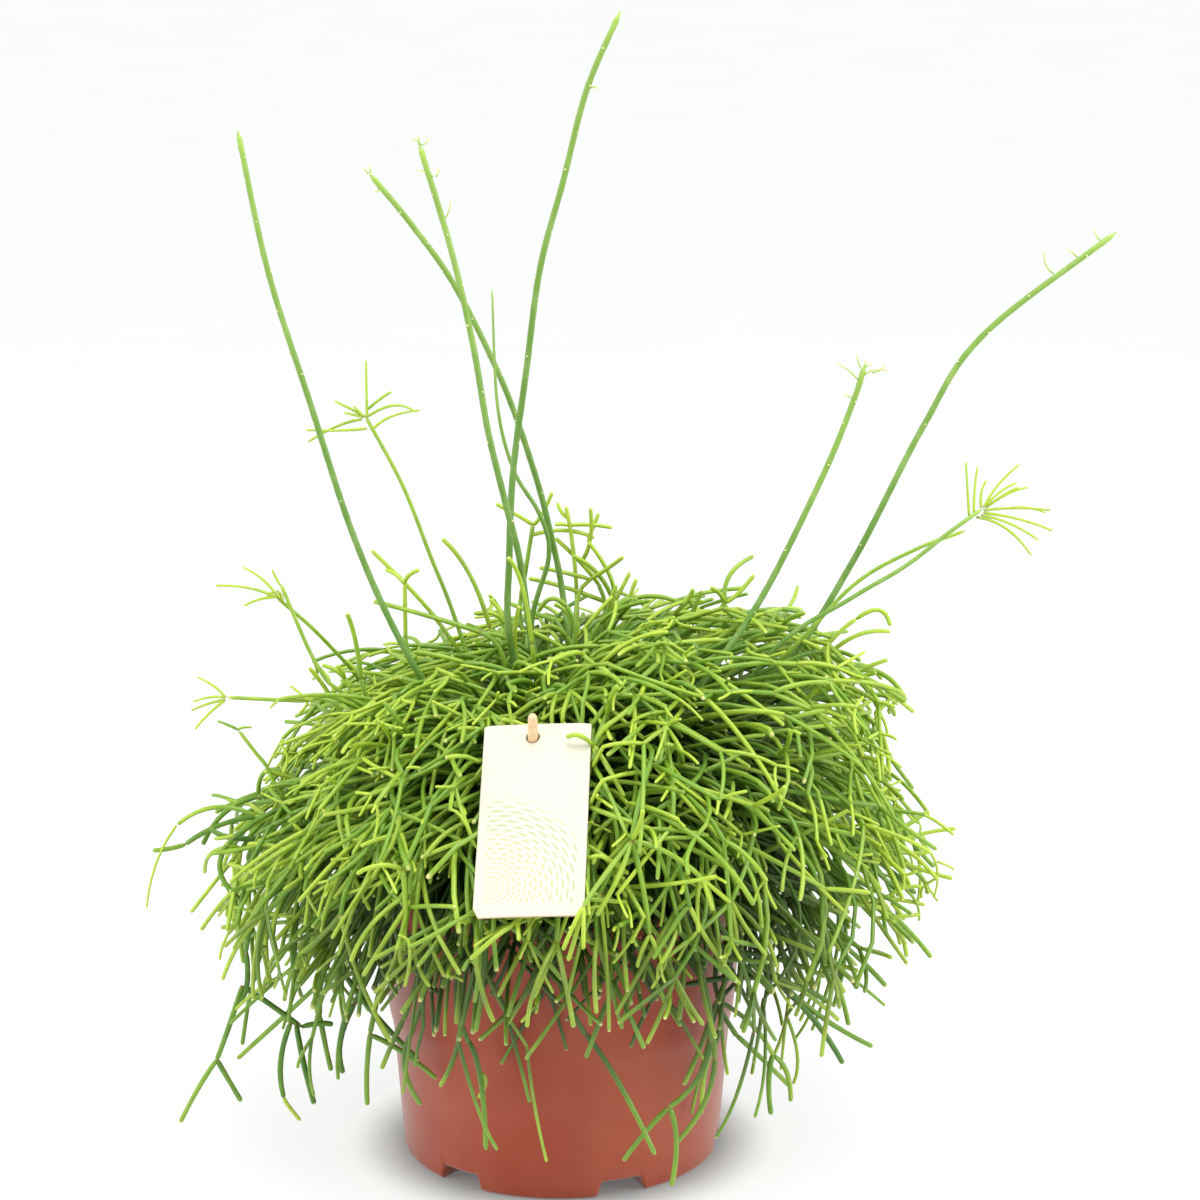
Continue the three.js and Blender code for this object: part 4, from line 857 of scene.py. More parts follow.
def whorl(parents, reach, radius, first, choices, trait, spread, sag, age, most, hanging=False):
    """Stems in a ring round the end of each parent, spread evenly with a random start.

    How many each parent has is drawn from a list of choices. Unless they hang, none grow on
    parents that end below the dome's underside, and those that would end there are kept shorter.
    """
    picked = np.floor(draw(parents.stems, trait) * len(choices)).astype(int)
    counts = np.array(choices)[picked]
    if not hanging:
        ends = parents.controls[:, 3]
        counts = np.where(ends[:, 2] < underside_at(ends) + BARE_HEIGHT, 0, counts)
    parent = np.repeat(np.arange(len(counts)), counts)
    place = np.arange(len(parent)) - np.repeat(np.cumsum(counts) - counts, counts)
    stems = first + np.arange(len(parent))
    parents.free[np.unique(parent)] = 0
    tips, along = (values[parent] for values in parents.ends())
    heading = unit(0.65 * along + 0.5 * flow_at(tips))
    turn = 2 * np.pi * (place / counts[parent] + draw(parents.stems[parent], 3))
    opening = np.radians(between(*spread, stems, 5))
    direction = deflect(heading, opening, turn + between(-TURN_SPREAD, TURN_SPREAD, stems, 4))
    out = unit(tips - HEART)
    direction = unit(direction + out * np.maximum(0, 0.2 - dot(direction, out)))
    start = tips - along * parents.radius[parent][:, None] * 0.9
    reaches = reach * between(*WHORL_LENGTHS, stems, 6)
    controls = curves(start, direction, reaches, between(*sag, stems, 7), stems)
    loose = np.where(draw(stems, 35) > LOOSE_FROM, LOOSE_SHARE, 1)
    limit = most * loose * between(*WHORL_LIMITS, stems, 32)
    controls[:, 1:] = within_dome(controls[:, 1:], limit[:, None])
    if not hanging:
        controls = above_underside(controls, stems)
    ages = np.clip(age + between(-AGE_SPREAD, AGE_SPREAD, stems, 8), 0, 1)
    sizes = radius * between(*WHORL_SIZES, stems, 9)
    return Growth(stems, controls, sizes, ages, parents.bunch[parent])


def main_stems(settings):
    """Stems that rise from the soil, arch over and end in even joints inside the dome.

    Those that end low rise straight and come down on their joint from above.
    """
    stems = np.arange(settings.mains)
    angle = stems * GOLDEN_ANGLE
    covered = (stems + 0.5) / settings.mains * (1 - np.cos(skirt_angle(angle)))
    from_top = np.arccos(1 - covered)
    crown = 1 - smooth(from_top / np.radians(55))
    share = between(0.4, 0.66, stems, 1) + 0.12 * crown
    joint = in_dome(share, np.maximum(0, from_top - np.radians(6)), angle)
    root = polar(ROOTS_RADIUS * np.sqrt(draw(stems, 2)) * np.sin(from_top) ** 0.5, angle, SOIL_EDGE)
    end = deflect(flow_at(joint), np.radians(between(5, 30, stems, 10)), 2 * np.pi * draw(stems, 11))
    distance = np.linalg.norm(joint - root, axis=-1)
    low = smooth((np.degrees(from_top) - LOW_ANGLE) / LOW_SPREAD)
    rise = distance * 0.45 * (1 - low) + LOW_RISE * low
    second = root + rise[:, None] * UP
    third = joint - end * (distance * 0.35 * (1 - low))[:, None] + UP * (LOW_DROP * low)[:, None]
    controls = np.stack([root, second, third, joint], 1)
    return Growth(stems, controls, settings.radius * 1.05, between(0, 0.3, stems, 8), bunch_at(joint))


def arching_stems(settings, joints):
    """Long stems over the dome: each leaves a joint, arches out, down and aside to end by the skin."""
    place = np.arange(settings.arches) + 0.5
    stems = FIRST_ARCH + np.arange(settings.arches)
    angle = place * GOLDEN_ANGLE
    from_top = np.arccos(1 - place / settings.arches * (1 - np.cos(skirt_angle(angle))))
    aside = np.radians(between(-ARCH_ASIDE, ARCH_ASIDE, stems, 1)) / np.maximum(np.sin(from_top), 0.3)
    lower = from_top + np.radians(between(*ARCH_FALL, stems, 2))
    root = nearest(in_dome(0.5, from_top * 0.8, angle - aside * 0.8), joints)
    bend = in_dome(0.8, from_top * 0.84, angle - aside * 0.4)
    beyond = from_top + (lower - from_top) * 0.3
    over = in_dome(between(0.96, 1.08, stems, 3), beyond, angle + aside * 0.3)
    tip = within_dome(in_dome(between(*ARCH_ENDS, stems, 4), lower, angle + aside), 1.02)
    controls = np.stack([root, bend, over, tip], 1)
    radius = settings.radius * between(0.85, 1.08, stems, 9)
    return Growth(stems, controls, radius, between(0.15, 0.75, stems, 8), bunch_at(bend))


def fringe_stems(settings, joints):
    """Stems that leave low joints and hang in a loose fringe, higher in front and at the right."""
    stems = FIRST_FRINGE + np.arange(settings.fringe)
    angle = np.arange(settings.fringe) * GOLDEN_ANGLE
    front = np.maximum(0, -np.sin(angle)) ** 2
    right = np.maximum(0, np.cos(angle)) ** 2
    root = nearest(in_dome(0.55, np.radians(between(58, 74, stems, 1)), angle), joints)
    bend = in_dome(between(0.7, 0.95, stems, 2), np.radians(82), angle)
    reach = between(*FRINGE_REACH, stems, 3) * (1 - 0.2 * front - 0.16 * right) * MM
    low = (between(*FRINGE_LOW, stems, 4) + FRINGE_FRONT_LIFT * front + FRINGE_RIGHT_LIFT * right) * MM
    tip = polar(reach, angle + np.radians(between(-16, 16, stems, 5)), low)
    over = (bend + tip) / 2 + unit(bend - HEART) * (between(4, 20, stems, 6) * MM)[:, None]
    controls = np.stack([root, bend, over, tip], 1)
    radius = settings.radius * between(0.7, 0.95, stems, 9)
    return Growth(stems, controls, radius, between(0.05, 0.5, stems, 8), bunch_at(bend))


def starts_on(controls):
    """Whether each stem (down) starts on an earlier one (across), as a table."""
    lines = bezier(controls, np.broadcast_to(np.linspace(0, 1, 21), (len(controls), 21)))
    gaps = np.linalg.norm(controls[:, 0][:, None, None] - lines[None], axis=-1).min(-1)
    return np.tril(gaps < JOINT_REACH, -1)


def placed_stems(rows, first, radius, lean=0.3, taper=0.9, placed=True):
    """Stems placed one by one, each a parabola through its three points, and thicker the older it is.

    Those that bear no other lean forwards or back, up to a share of their length.
    """
    start, middle, tip = (np.array([row[i] for row in rows], float) * MM for i in range(3))
    age = np.array([row[3] for row in rows], float)
    bend = 2 * middle - (start + tip) / 2
    controls = np.stack([start, (start + 2 * bend) / 3, (tip + 2 * bend) / 3, tip], 1)
    stems = first + np.arange(len(rows))
    lean = between(-lean, lean, stems, 1) * np.linalg.norm(tip - start, axis=-1)
    lean = np.where(starts_on(controls).any(0), 0, lean)
    controls = controls + (lean[:, None] * np.array([0, 0.1, 0.45, 1]))[..., None] * np.array([0, 1, -0.2])
    return Growth(stems, controls, radius * (1.2 - 0.35 * age), age, bunch_at(start), taper, placed)


def feet_for(growth, joints):
    """A foot for each placed stem that starts on no earlier one.

    It rises from the nearest joint in the dome and runs smoothly into the stem.
    """
    bare = ~starts_on(growth.controls).any(1)
    start, along = (values[bare] for values in (growth.controls[:, 0], growth.headings()))
    root = nearest(start - unit(start - HEART) * FOOT_REACH, joints)
    reach = np.linalg.norm(start - root, axis=-1)[:, None]
    second = root + (start - root) * 0.25 + UP * reach * 0.2
    controls = np.stack([root, second, start - along * reach * 0.35, start + along * 1 * MM], 1)
    foot = Growth(
        growth.stems[bare] + FOOT_STEP, controls, growth.radius[bare] * 1.05, growth.age[bare] * 0.7,
        growth.bunch[bare], placed=growth.placed)
    foot.free[:] = 0
    return foot


def grow_dome(settings):
    """All generations of the dome's stems, from the soil outwards, and its thin twigs."""
    thick, thin = settings.radius, settings.twig_radius
    mains = main_stems(settings)
    joints = mains.controls[:, 3]
    arches = arching_stems(settings, joints)
    fringe = fringe_stems(settings, joints)
    sprigs = placed_stems(SPRIGS, FIRST_SPRIG, thick)
    hangers = placed_stems(HANGERS, FIRST_HANGER, thick, placed=False)
    placed = [sprigs, hangers, feet_for(sprigs, joints), feet_for(hangers, joints)]
    first = whorl(mains, settings.first_reach, thick, **WHORLS["first"])
    second = whorl(first, settings.second_reach, thick * 0.92, **WHORLS["second"])
    forks = whorl(arches, settings.second_reach, thick * 0.9, **WHORLS["forks"])
    ends = whorl(fringe, settings.second_reach * 0.85, thick * 0.75, **WHORLS["ends"])
    twigs = [
        whorl(second, settings.twig_reach, thin, **WHORLS["twigs"]),
        whorl(forks, settings.twig_reach, thin, **WHORLS["fork_twigs"])]
    return [mains, arches, fringe, *placed, first, second, forks, ends], twigs


def grid_faces(rows, columns, wrap_rows=False):
    """Quads of a grid whose columns close round, counted row by row."""
    row = np.arange(rows if wrap_rows else rows - 1)[:, None] * columns
    column = np.arange(columns)
    here = row + column
    beside = row + (column + 1) % columns
    quads = np.stack([here, beside, beside + columns, here + columns], -1).reshape(-1, 4)
    return quads % (rows * columns)


def fan(pole, ring):
    """Triangles from a pole to the points of a closed ring, taken in order."""
    return np.stack([np.full(len(ring), pole), np.roll(ring, -1), ring], -1)


def revolved(rings, poles):
    """A shape turned about an axis: its rings, closed by a pole before the first and after the last."""
    rows, columns, _ = rings.shape
    count = rows * columns
    first = np.arange(columns)
    caps = np.concatenate([fan(count, first), fan(count + 1, count - columns + first)[:, ::-1]])
    return np.concatenate([rings.reshape(-1, 3), poles]), [grid_faces(rows, columns), caps]


def signed_volume(vertices, faces):
    """Six times the volume inside closed faces: each corner fan's triple products, summed."""
    total = 0.0
    for group in faces:
        for i in range(1, group.shape[1] - 1):
            first, second, third = (vertices[group[:, j]] for j in (0, i, i + 1))
            total += np.sum(np.cross(first, second) * third)
    return total


def add_piece(name, material, slot, replaced, vertices, faces, attributes=None, uv=None):
    """Makes a closed mesh at the origin with faces outwards, and ties it to the frame."""
    if signed_volume(vertices, faces) < 0:
        faces = [group[:, ::-1] for group in faces]
    sizes = np.concatenate([np.full(len(group), group.shape[1]) for group in faces])
    corners = np.concatenate([group.ravel() for group in faces]).astype(np.int32)
    mesh = bpy.data.meshes.new(name)
    mesh.vertices.add(len(vertices))
    mesh.vertices.foreach_set("co", vertices.astype(np.float32).ravel())
    mesh.loops.add(len(corners))
    mesh.loops.foreach_set("vertex_index", corners)
    mesh.polygons.add(len(sizes))
    mesh.polygons.foreach_set("loop_start", (np.cumsum(sizes) - sizes).astype(np.int32))
    mesh.update(calc_edges=True)
    mesh.shade_smooth()
    for label, values in (attributes or {}).items():
        layer = mesh.attributes.new(label, "FLOAT", "POINT")
        layer.data.foreach_set("value", values.astype(np.float32))
    if uv is not None:
        mesh.uv_layers.new(name="UVMap").data.foreach_set("uv", uv[corners].astype(np.float32).ravel())
    mesh.materials.append(material)
    piece = bpy.data.objects.new(name, mesh)
    bpy.context.scene.collection.objects.link(piece)
    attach(piece, "root")
    if replaced:
        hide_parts(*replaced)


def tube_mesh(centres, radii, reference, sides):
    """Round closed stems from rings of points.

    A ring's point is its centre, plus the radius times the cosine of its turn along the stem's
    side and the sine along the direction square to both. The first and last centres are poles.
    """
    count, rings, _ = centres.shape
    tangents = unit(np.gradient(centres, axis=1))
    side = unit(reference[:, None] - dot(reference[:, None], tangents) * tangents)
    other = np.cross(tangents, side)
    turn = turns(sides)[:, None]
    swing = side[:, :, None] * np.cos(turn) + other[:, :, None] * np.sin(turn)
    rounds = (centres[:, :, None] + swing * radii[:, :, None, None])[:, 1:-1]
    each = (rings - 2) * sides + 2
    vertices = np.concatenate([rounds.reshape(count, -1, 3), centres[:, [0, -1]]], 1)
    quads = grid_faces(rings - 2, sides)
    last = (rings - 3) * sides + np.arange(sides)
    poles = np.concatenate([fan(each - 2, np.arange(sides)), fan(each - 1, last)[:, ::-1]])
    shift = (np.arange(count) * each)[:, None, None]
    faces = [(quads + shift).reshape(-1, 4), (poles + shift).reshape(-1, 3)]
    return vertices.reshape(-1, 3), faces


def per_vertex(values, sides):
    """Ring values, with the poles first and last, put in the order of a tube's vertices."""
    rounds = np.repeat(values[:, 1:-1], sides, axis=1)
    return np.concatenate([rounds, values[:, [0, -1]]], 1).ravel()


def stem_rings(growth, steps):
    """Where a stem's rings lie along it, and their radii.

    A pinched root widens over two radii, the middle tapers slightly and the tip is rounded like
    a dome: its last rings stand one radius and a third of a radius from the end.
    """
    chord = np.linalg.norm(np.diff(growth.controls, axis=1), axis=-1).sum(-1)
    bead = np.minimum(growth.radius / chord, 0.2)[:, None]
    middle = np.linspace(0, 1, steps + 1)[None, 1:-1]
    share = np.concatenate(
        [0 * bead, 0.15 * bead, 1.8 * bead, 1.8 * bead + middle * (1 - 2.8 * bead),
         1 - bead, 1 - 0.3 * bead, 1 + 0 * bead], 1)
    profile = np.concatenate([[0, 0.6, 0.94], np.ones(steps - 1), [1, 0.72, 0]])
    swell = 1 + 0.04 * np.sin(9 * share + growth.stems[:, None])
    taper = 1 - (1 - growth.taper) * share
    return share, profile * swell * taper * growth.radius[:, None]


def reference_for(centres):
    """A direction across each stem: square to its plane of bend, or to the upright if straight."""
    first = centres[:, centres.shape[1] // 2] - centres[:, 0]
    whole = centres[:, -1] - centres[:, 0]
    bend = np.cross(first, whole)
    flat = np.cross(whole, np.array([0.3, 0.2, 1.0]))
    straight = np.linalg.norm(bend, axis=-1, keepdims=True) < 1e-9
    return unit(np.where(straight, flat, bend))


def stems_mesh(growths, sides, steps):
    """Vertices, faces and traits of all stems in a list of growths."""
    vertices, faces, traits, offset = [], [[], []], [], 0
    for growth, side_count, step_count in zip(growths, sides, steps):
        if len(growth.stems) == 0:
            continue
        share, radii = stem_rings(growth, step_count)
        centres = bezier(growth.controls, share)
        if not growth.placed:
            centres = keep_clear(centres, growth.radius.max() + STEM_GAP)
        points, groups = tube_mesh(centres, radii, reference_for(centres), side_count)
        vertices.append(points)
        for kept, group in zip(faces, groups):
            kept.append(group + offset)
        offset += len(points)
        each = (growth.age, growth.free, draw(growth.stems, 20))
        values = (share, *(value[:, None] * np.ones_like(share) for value in each))
        traits.append([per_vertex(value, side_count) for value in values])
    columns = [np.concatenate(column) for column in zip(*traits)]
    attributes = dict(zip(("along", "age", "free", "tint"), columns))
    vertices = np.concatenate(vertices)
    attributes["depth"] = depth_at(vertices)
    return vertices, [np.concatenate(group) for group in faces], attributes


class Finish:
    """A material that is built up node by node on a principled surface."""

    def __init__(self, name):
        self.material = bpy.data.materials.new(name)
        self.material.use_nodes = True
        self.tree = self.material.node_tree
        self.surface = self.tree.nodes["Principled BSDF"]
        self.place = self.node("TexCoord").outputs["Object"]

    def feed(self, socket, value):
        """Gives a socket a plain value or another node's output."""
        if isinstance(value, bpy.types.NodeSocket):
            self.tree.links.new(value, socket)
        else:
            socket.default_value = value

    def node(self, kind, inputs=None, **options):
        """Adds a node with its options and inputs."""
        node = self.tree.nodes.new("ShaderNode" + kind)
        for key, value in options.items():
            setattr(node, key, value)
        for key, value in (inputs or {}).items():
            self.feed(node.inputs[key], value)
        return node

    def trait(self, name):
        """A number that the mesh carries for each point."""
        return self.node("Attribute", attribute_name=name).outputs["Fac"]

    def math(self, operation, first, second=0.0):
        """One sum on two numbers."""
        return self.node("Math", {0: first, 1: second}, operation=operation).outputs[0]

    def times(self, first, second):
        """The product of two numbers."""
        return self.math("MULTIPLY", first, second)

    def parts(self, place):
        """The three numbers of a place."""
        return self.node("SeparateXYZ", {0: place}).outputs

    def away(self, place):
        """How far a place is from the origin."""
        return self.node("VectorMath", {0: place}, operation="LENGTH").outputs["Value"]

    def ramp(self, value, low, high, start=0.0, end=1.0):
        """A soft step of a value between two limits."""
        inputs = {"Value": value, "From Min": low, "From Max": high, "To Min": start, "To Max": end}
        return self.node("MapRange", inputs, interpolation_type="SMOOTHSTEP").outputs["Result"]

    def stretched(self, scale, place=None, **moved):
        """Places scaled by a vector, for patterns that run one way, and moved or turned."""
        inputs = {"Vector": place or self.place, "Scale": scale, **moved}
        return self.node("Mapping", inputs).outputs["Vector"]

    def noise(self, scale, detail=3.0, place=None, rough=0.5):
        """Cloudy noise from 0 to 1."""
        inputs = {"Vector": place or self.place, "Scale": scale, "Detail": detail, "Roughness": rough}
        return self.node("TexNoise", inputs).outputs["Fac"]

    def mix(self, factor, first, second, mode="MIX"):
        """Two colours mixed by a factor."""
        node = self.node("Mix", data_type="RGBA", blend_type=mode)
        for index, value in ((0, factor), (6, first), (7, second)):
            self.feed(node.inputs[index], value)
        return node.outputs[2]

    def bump(self, height, distance, strength=1.0, under=None):
        """A bump from a height, over another bump where one is given."""
        inputs = {"Height": height, "Distance": distance, "Strength": strength}
        if under is not None:
            inputs["Normal"] = under
        return self.node("Bump", inputs).outputs["Normal"]

    def finish(self, **sockets):
        """Feeds the surface's sockets, named with underscores for spaces."""
        for key, value in sockets.items():
            self.feed(self.surface.inputs[key.replace("_", " ")], value)
        return self.material


def terracotta_plastic(settings):
    """Moulded plastic: mottled colour, flow streaks, faint scuffs and a fine matt grain."""
    finish = Finish("terracotta_plastic")
    cloud = finish.noise(18, 3)
    streaks = finish.noise(9, 3, finish.stretched((3, 3, 0.8)))
    scuffs = finish.ramp(finish.noise(60, 6, finish.stretched((1, 1, 5)), 0.7), 0.6, 0.78, 0, 0.35)
    height = finish.parts(finish.place)["Z"]
    dust = finish.times(finish.ramp(height, 20 * MM, 0, 0, 0.3), finish.noise(120, 4))
    tone = finish.mix(finish.ramp(cloud, 0.3, 0.7, 0, 0.3), settings.plastic, settings.worn)
    tone = finish.mix(finish.ramp(streaks, 0.45, 0.75, 0, 0.35), tone, dimmed(settings.plastic, 0.86))
    tone = finish.mix(finish.math("MAXIMUM", scuffs, dust), tone, settings.worn)
    normal = finish.bump(finish.noise(2600, 2), 0.05 * MM, 0.35)
    normal = finish.bump(streaks, 0.4 * MM, 0.12, normal)
    return finish.finish(
        Base_Color=tone, Roughness=finish.ramp(cloud, 0.2, 0.8, 0.42, 0.56), Normal=normal,
        Specular_IOR_Level=0.3, Sheen_Weight=0.6, Sheen_Roughness=0.4, Coat_Weight=0.15,
        Coat_Roughness=0.35)


def crumbly_peat(settings):
    """Dark peat: crumbs lighter on the crests of its bumps and darker in their hollows, with coarse and fine
    bumps.
    """
    finish = Finish("crumbly_peat")
    crumbs = finish.noise(420, 8, rough=0.75)
    lumps = finish.noise(110, 4)
    # The peat is darker in the hollows of its own bumps and lighter on their crests.
    raised_share = finish.times(finish.ramp(crumbs, 0.4, 0.7), finish.ramp(lumps, 0.3, 0.6, 0.3, 1))
    tone = finish.mix(raised_share, settings.hollow_peat, settings.peat)
    normal = finish.bump(crumbs, 1.5 * MM, 0.9, finish.bump(lumps, 3 * MM, 0.6))
    return finish.finish(Base_Color=tone, Roughness=0.95, Normal=normal)


def green_stems(settings):
    """Succulent skin: old to young green by age, dark flecks, scars at joints and dry tips.

    It has painted shade deep in the dome, and in front under the dome's edge.
    """
    finish = Finish("green_stems")
    age, along, free, tint, depth = (finish.trait(name) for name in ("age", "along", "free", "tint", "depth"))
    cloud = finish.noise(130, 3)
    drift = finish.times(finish.math("SUBTRACT", cloud, 0.5), 0.5)
    years = finish.math("ADD", finish.math("ADD", age, drift), finish.times(along, 0.12))
    tone = finish.mix(finish.ramp(years, 0.0, 0.55), settings.old, settings.grown)
    tone = finish.mix(finish.ramp(years, 0.45, 1.0), tone, settings.young)
    shade = finish.mix(0.45, tone, settings.old, "MULTIPLY")
    tone = finish.mix(finish.ramp(finish.noise(900, 3), 0.58, 0.72, 0, 0.35), tone, shade)
    tone = finish.mix(finish.ramp(tint, 0.7, 1, 0, 0.25), tone, shade)
    # Painted shade: stems deep in the dome are darkened towards the shaded colour.
    tone = finish.mix(finish.times(depth, 0.85), tone, settings.deep)
    _, front, height = finish.parts(finish.place)
    # Painted shade under the dome's edge in front: stems between the given heights and towards the front are
    # darkened, less so towards their tips.
    under = finish.times(finish.ramp(height, *SHELTER_HEIGHTS), finish.ramp(height, *SHELTER_ENDS, 0.25, 1.0))
    painted_shelter_shade = finish.times(under, finish.ramp(front, *SHELTER_DEPTHS, 0, 0.64))
    painted_shelter_shade = finish.times(painted_shelter_shade, finish.ramp(along, 1.0, 0.5, 0.45, 1.0))
    tone = finish.mix(painted_shelter_shade, tone, settings.deep)
    joint = finish.times(finish.ramp(along, 0.06, 0.0), finish.ramp(tint, 0.2, 0.8, 0.2, 0.8))
    tone = finish.mix(joint, tone, settings.scar)
    dry = finish.times(finish.ramp(along, 0.975, 1.0), finish.ramp(tint, 0.3, 0.8, 0.1, 0.8))
    tone = finish.mix(finish.times(dry, free), tone, settings.tip)
    return finish.finish(
        Base_Color=tone, Roughness=finish.ramp(cloud, 0.3, 0.7, 0.28, 0.42), Specular_IOR_Level=0.5,
        Normal=finish.bump(finish.noise(700, 3), 0.15 * MM, 0.3),
        Subsurface_Weight=0.25, Subsurface_Radius=(0.9, 1.0, 0.3), Subsurface_Scale=1.5 * MM)


def cane_skin(settings):
    """Blue-green skin under a pale bloom, fresh yellow-green towards the growing end."""
    finish = Finish("cane_skin")
    along = finish.trait("along")
    bloom = finish.ramp(finish.noise(160, 5, finish.stretched((1, 1, 0.35)), 0.6), 0.4, 0.75, 0.05, 0.6)
    tone = finish.mix(bloom, settings.skin, settings.bloom)
    tone = finish.mix(finish.ramp(along, 0.5, 0.95, 0, 0.35), tone, settings.fresh)
    tone = finish.mix(finish.ramp(along, 0.94, 1.0, 0, 0.6), tone, settings.fresh)
    return finish.finish(
        Base_Color=tone, Roughness=finish.ramp(bloom, 0, 0.6, 0.4, 0.6), Specular_IOR_Level=0.4,
        Normal=finish.bump(finish.noise(800, 3), 0.12 * MM, 0.3))


def areole_wool(settings):
    """Short cream wool with a rough felted surface."""
    finish = Finish("areole_wool")
    felt = finish.noise(3000, 3)
    tone = finish.mix(finish.ramp(felt, 0.3, 0.7, 0, 0.4), settings.wool, settings.shoot)
    return finish.finish(
        Base_Color=tone, Roughness=0.9, Sheen_Weight=0.3, Normal=finish.bump(felt, 0.2 * MM, 0.6))


def young_shoots(settings):
    """Thin new shoots, green at the root and paler to the tip."""
    finish = Finish("young_shoots")
    along = finish.trait("along")
    cloud = finish.noise(200, 3)
    root = finish.mix(finish.ramp(cloud, 0.3, 0.7, 0.1, 0.5), settings.fresh, settings.skin)
    tone = finish.mix(finish.ramp(along, 0.0, 0.3), root, settings.fresh)
    tone = finish.mix(finish.ramp(along, 0.3, 1.0, 0, 0.9), tone, settings.shoot)
    return finish.finish(
        Base_Color=tone, Roughness=0.45, Normal=finish.bump(cloud, 0.1 * MM, 0.3),
        Subsurface_Weight=0.15, Subsurface_Radius=(0.9, 1.0, 0.3), Subsurface_Scale=1.0 * MM)


def printed_card(settings):
    """Pale card with rings of short dashes round a low corner, warm to green, and a tinted cut edge."""
    finish = Finish("printed_card")
    sheet = finish.node("UVMap").outputs["UV"]
    across, down, _ = finish.parts(sheet)
    spot = finish.stretched((1, 2, 1), sheet, Location=(-0.16, -0.3, 0))
    away = finish.away(spot)
    aside, beyond, _ = finish.parts(spot)
    angle = finish.math("ARCTAN2", beyond, aside)
    swirl = finish.math("ADD", finish.times(angle, 26.0), finish.times(away, 70.0))
    rings = finish.ramp(finish.math("SINE", finish.times(away, 130.0)), 0.0, 0.7)
    dashes = finish.ramp(finish.math("SINE", swirl), -0.5, 0.1)
    sides = finish.times(finish.ramp(across, 0.05, 0.1), finish.ramp(across, 0.95, 0.9))
    ends = finish.times(finish.ramp(down, 0.05, 0.08), finish.ramp(away, 1.02, 0.8))
    panel = finish.times(finish.times(sides, ends), finish.times(rings, dashes))
    ink = finish.mix(finish.ramp(away, 0.25, 0.7), settings.print_warm, settings.print_green)
    fibre = finish.noise(1500, 4)
    tone = finish.mix(finish.ramp(fibre, 0.3, 0.8, 0, 0.08), settings.sheet, settings.edge)
    tone = finish.mix(panel, tone, ink)
    tone = finish.mix(finish.times(finish.trait("cut"), 0.8), tone, settings.edge)
    return finish.finish(
        Base_Color=tone, Roughness=finish.ramp(fibre, 0.3, 0.7, 0.4, 0.5),
        Normal=finish.bump(fibre, 0.05 * MM, 0.3))


def pale_wood(settings):
    """Light wood with fine grain along the stick."""
    finish = Finish("pale_wood")
    upright = finish.stretched((1, 1, 0.05), Rotation=(-float(STICK_LEAN), 0, 0))
    grain = finish.noise(1400, 5, upright, 0.65)
    tone = finish.mix(finish.ramp(grain, 0.4, 0.75, 0, 0.7), settings.wood, settings.grain)
    return finish.finish(Base_Color=tone, Roughness=0.6, Normal=finish.bump(grain, 0.15 * MM, 0.5))


def studio_paper(settings):
    """Matt pale floor with a barely seen paper grain, which glows but for a soft ring at the pot, where a
    contact shadow is painted into the glow.
    """
    finish = Finish("studio_paper")
    tone = finish.mix(finish.noise(3, 2), settings.floor, dimmed(settings.floor, 0.97))
    dim = finish.mix(1.0, tone, (0.3, 0.3, 0.3, 1.0), "MULTIPLY")
    # Painted contact shadow: the floor's glow is weak under and round the pot's foot, and grows to full over
    # a soft ring.
    glow_with_painted_shadow = finish.ramp(finish.away(finish.place), BASE_RADIUS * 0.9, BASE_RADIUS * 1.4, 0.12, 0.745)
    return finish.finish(Base_Color=dim, Roughness=0.9, Emission_Color=tone, Emission_Strength=glow_with_painted_shadow)


def rounded_profile(corners):
    """A line of radii and heights with rounded corners.

    Each corner, given with its rounding, becomes a quadratic curve between the points at that
    distance before and after it.
    """
    points = np.array([corner[:2] for corner in corners])
    rounding = np.array([corner[2] for corner in corners])
    bends = [points[:1]]
    t = np.linspace(0, 1, 5)[:, None]
    for before, corner, after, size in zip(points, points[1:], points[2:], rounding[1:]):
        first = corner + unit(before - corner) * size
        last = corner + unit(after - corner) * size
        bends.append((1 - t) ** 2 * first + 2 * t * (1 - t) * corner + t ** 2 * last)
    return np.concatenate([*bends, points[-1:]])


def bay_lift(radius, angle, margin):
    """How far a bay between two feet lifts the pot there: a soft trapezium across each bay."""
    spacing = 2 * np.pi / BAY_COUNT
    aside = (angle - FIRST_BAY_ANGLE + spacing / 2) % spacing - spacing / 2
    slope = (BAY_FOOT_WIDTH - BAY_ROOF_WIDTH) / 2
    inside = (BAY_FOOT_WIDTH / 2 + margin - np.abs(radius * np.sin(aside))) / slope
    inner = (radius - BAY_INNER_RADIUS + margin) / (2 * MM)
    return BAY_HEIGHT * smooth(inside) * smooth(inner)


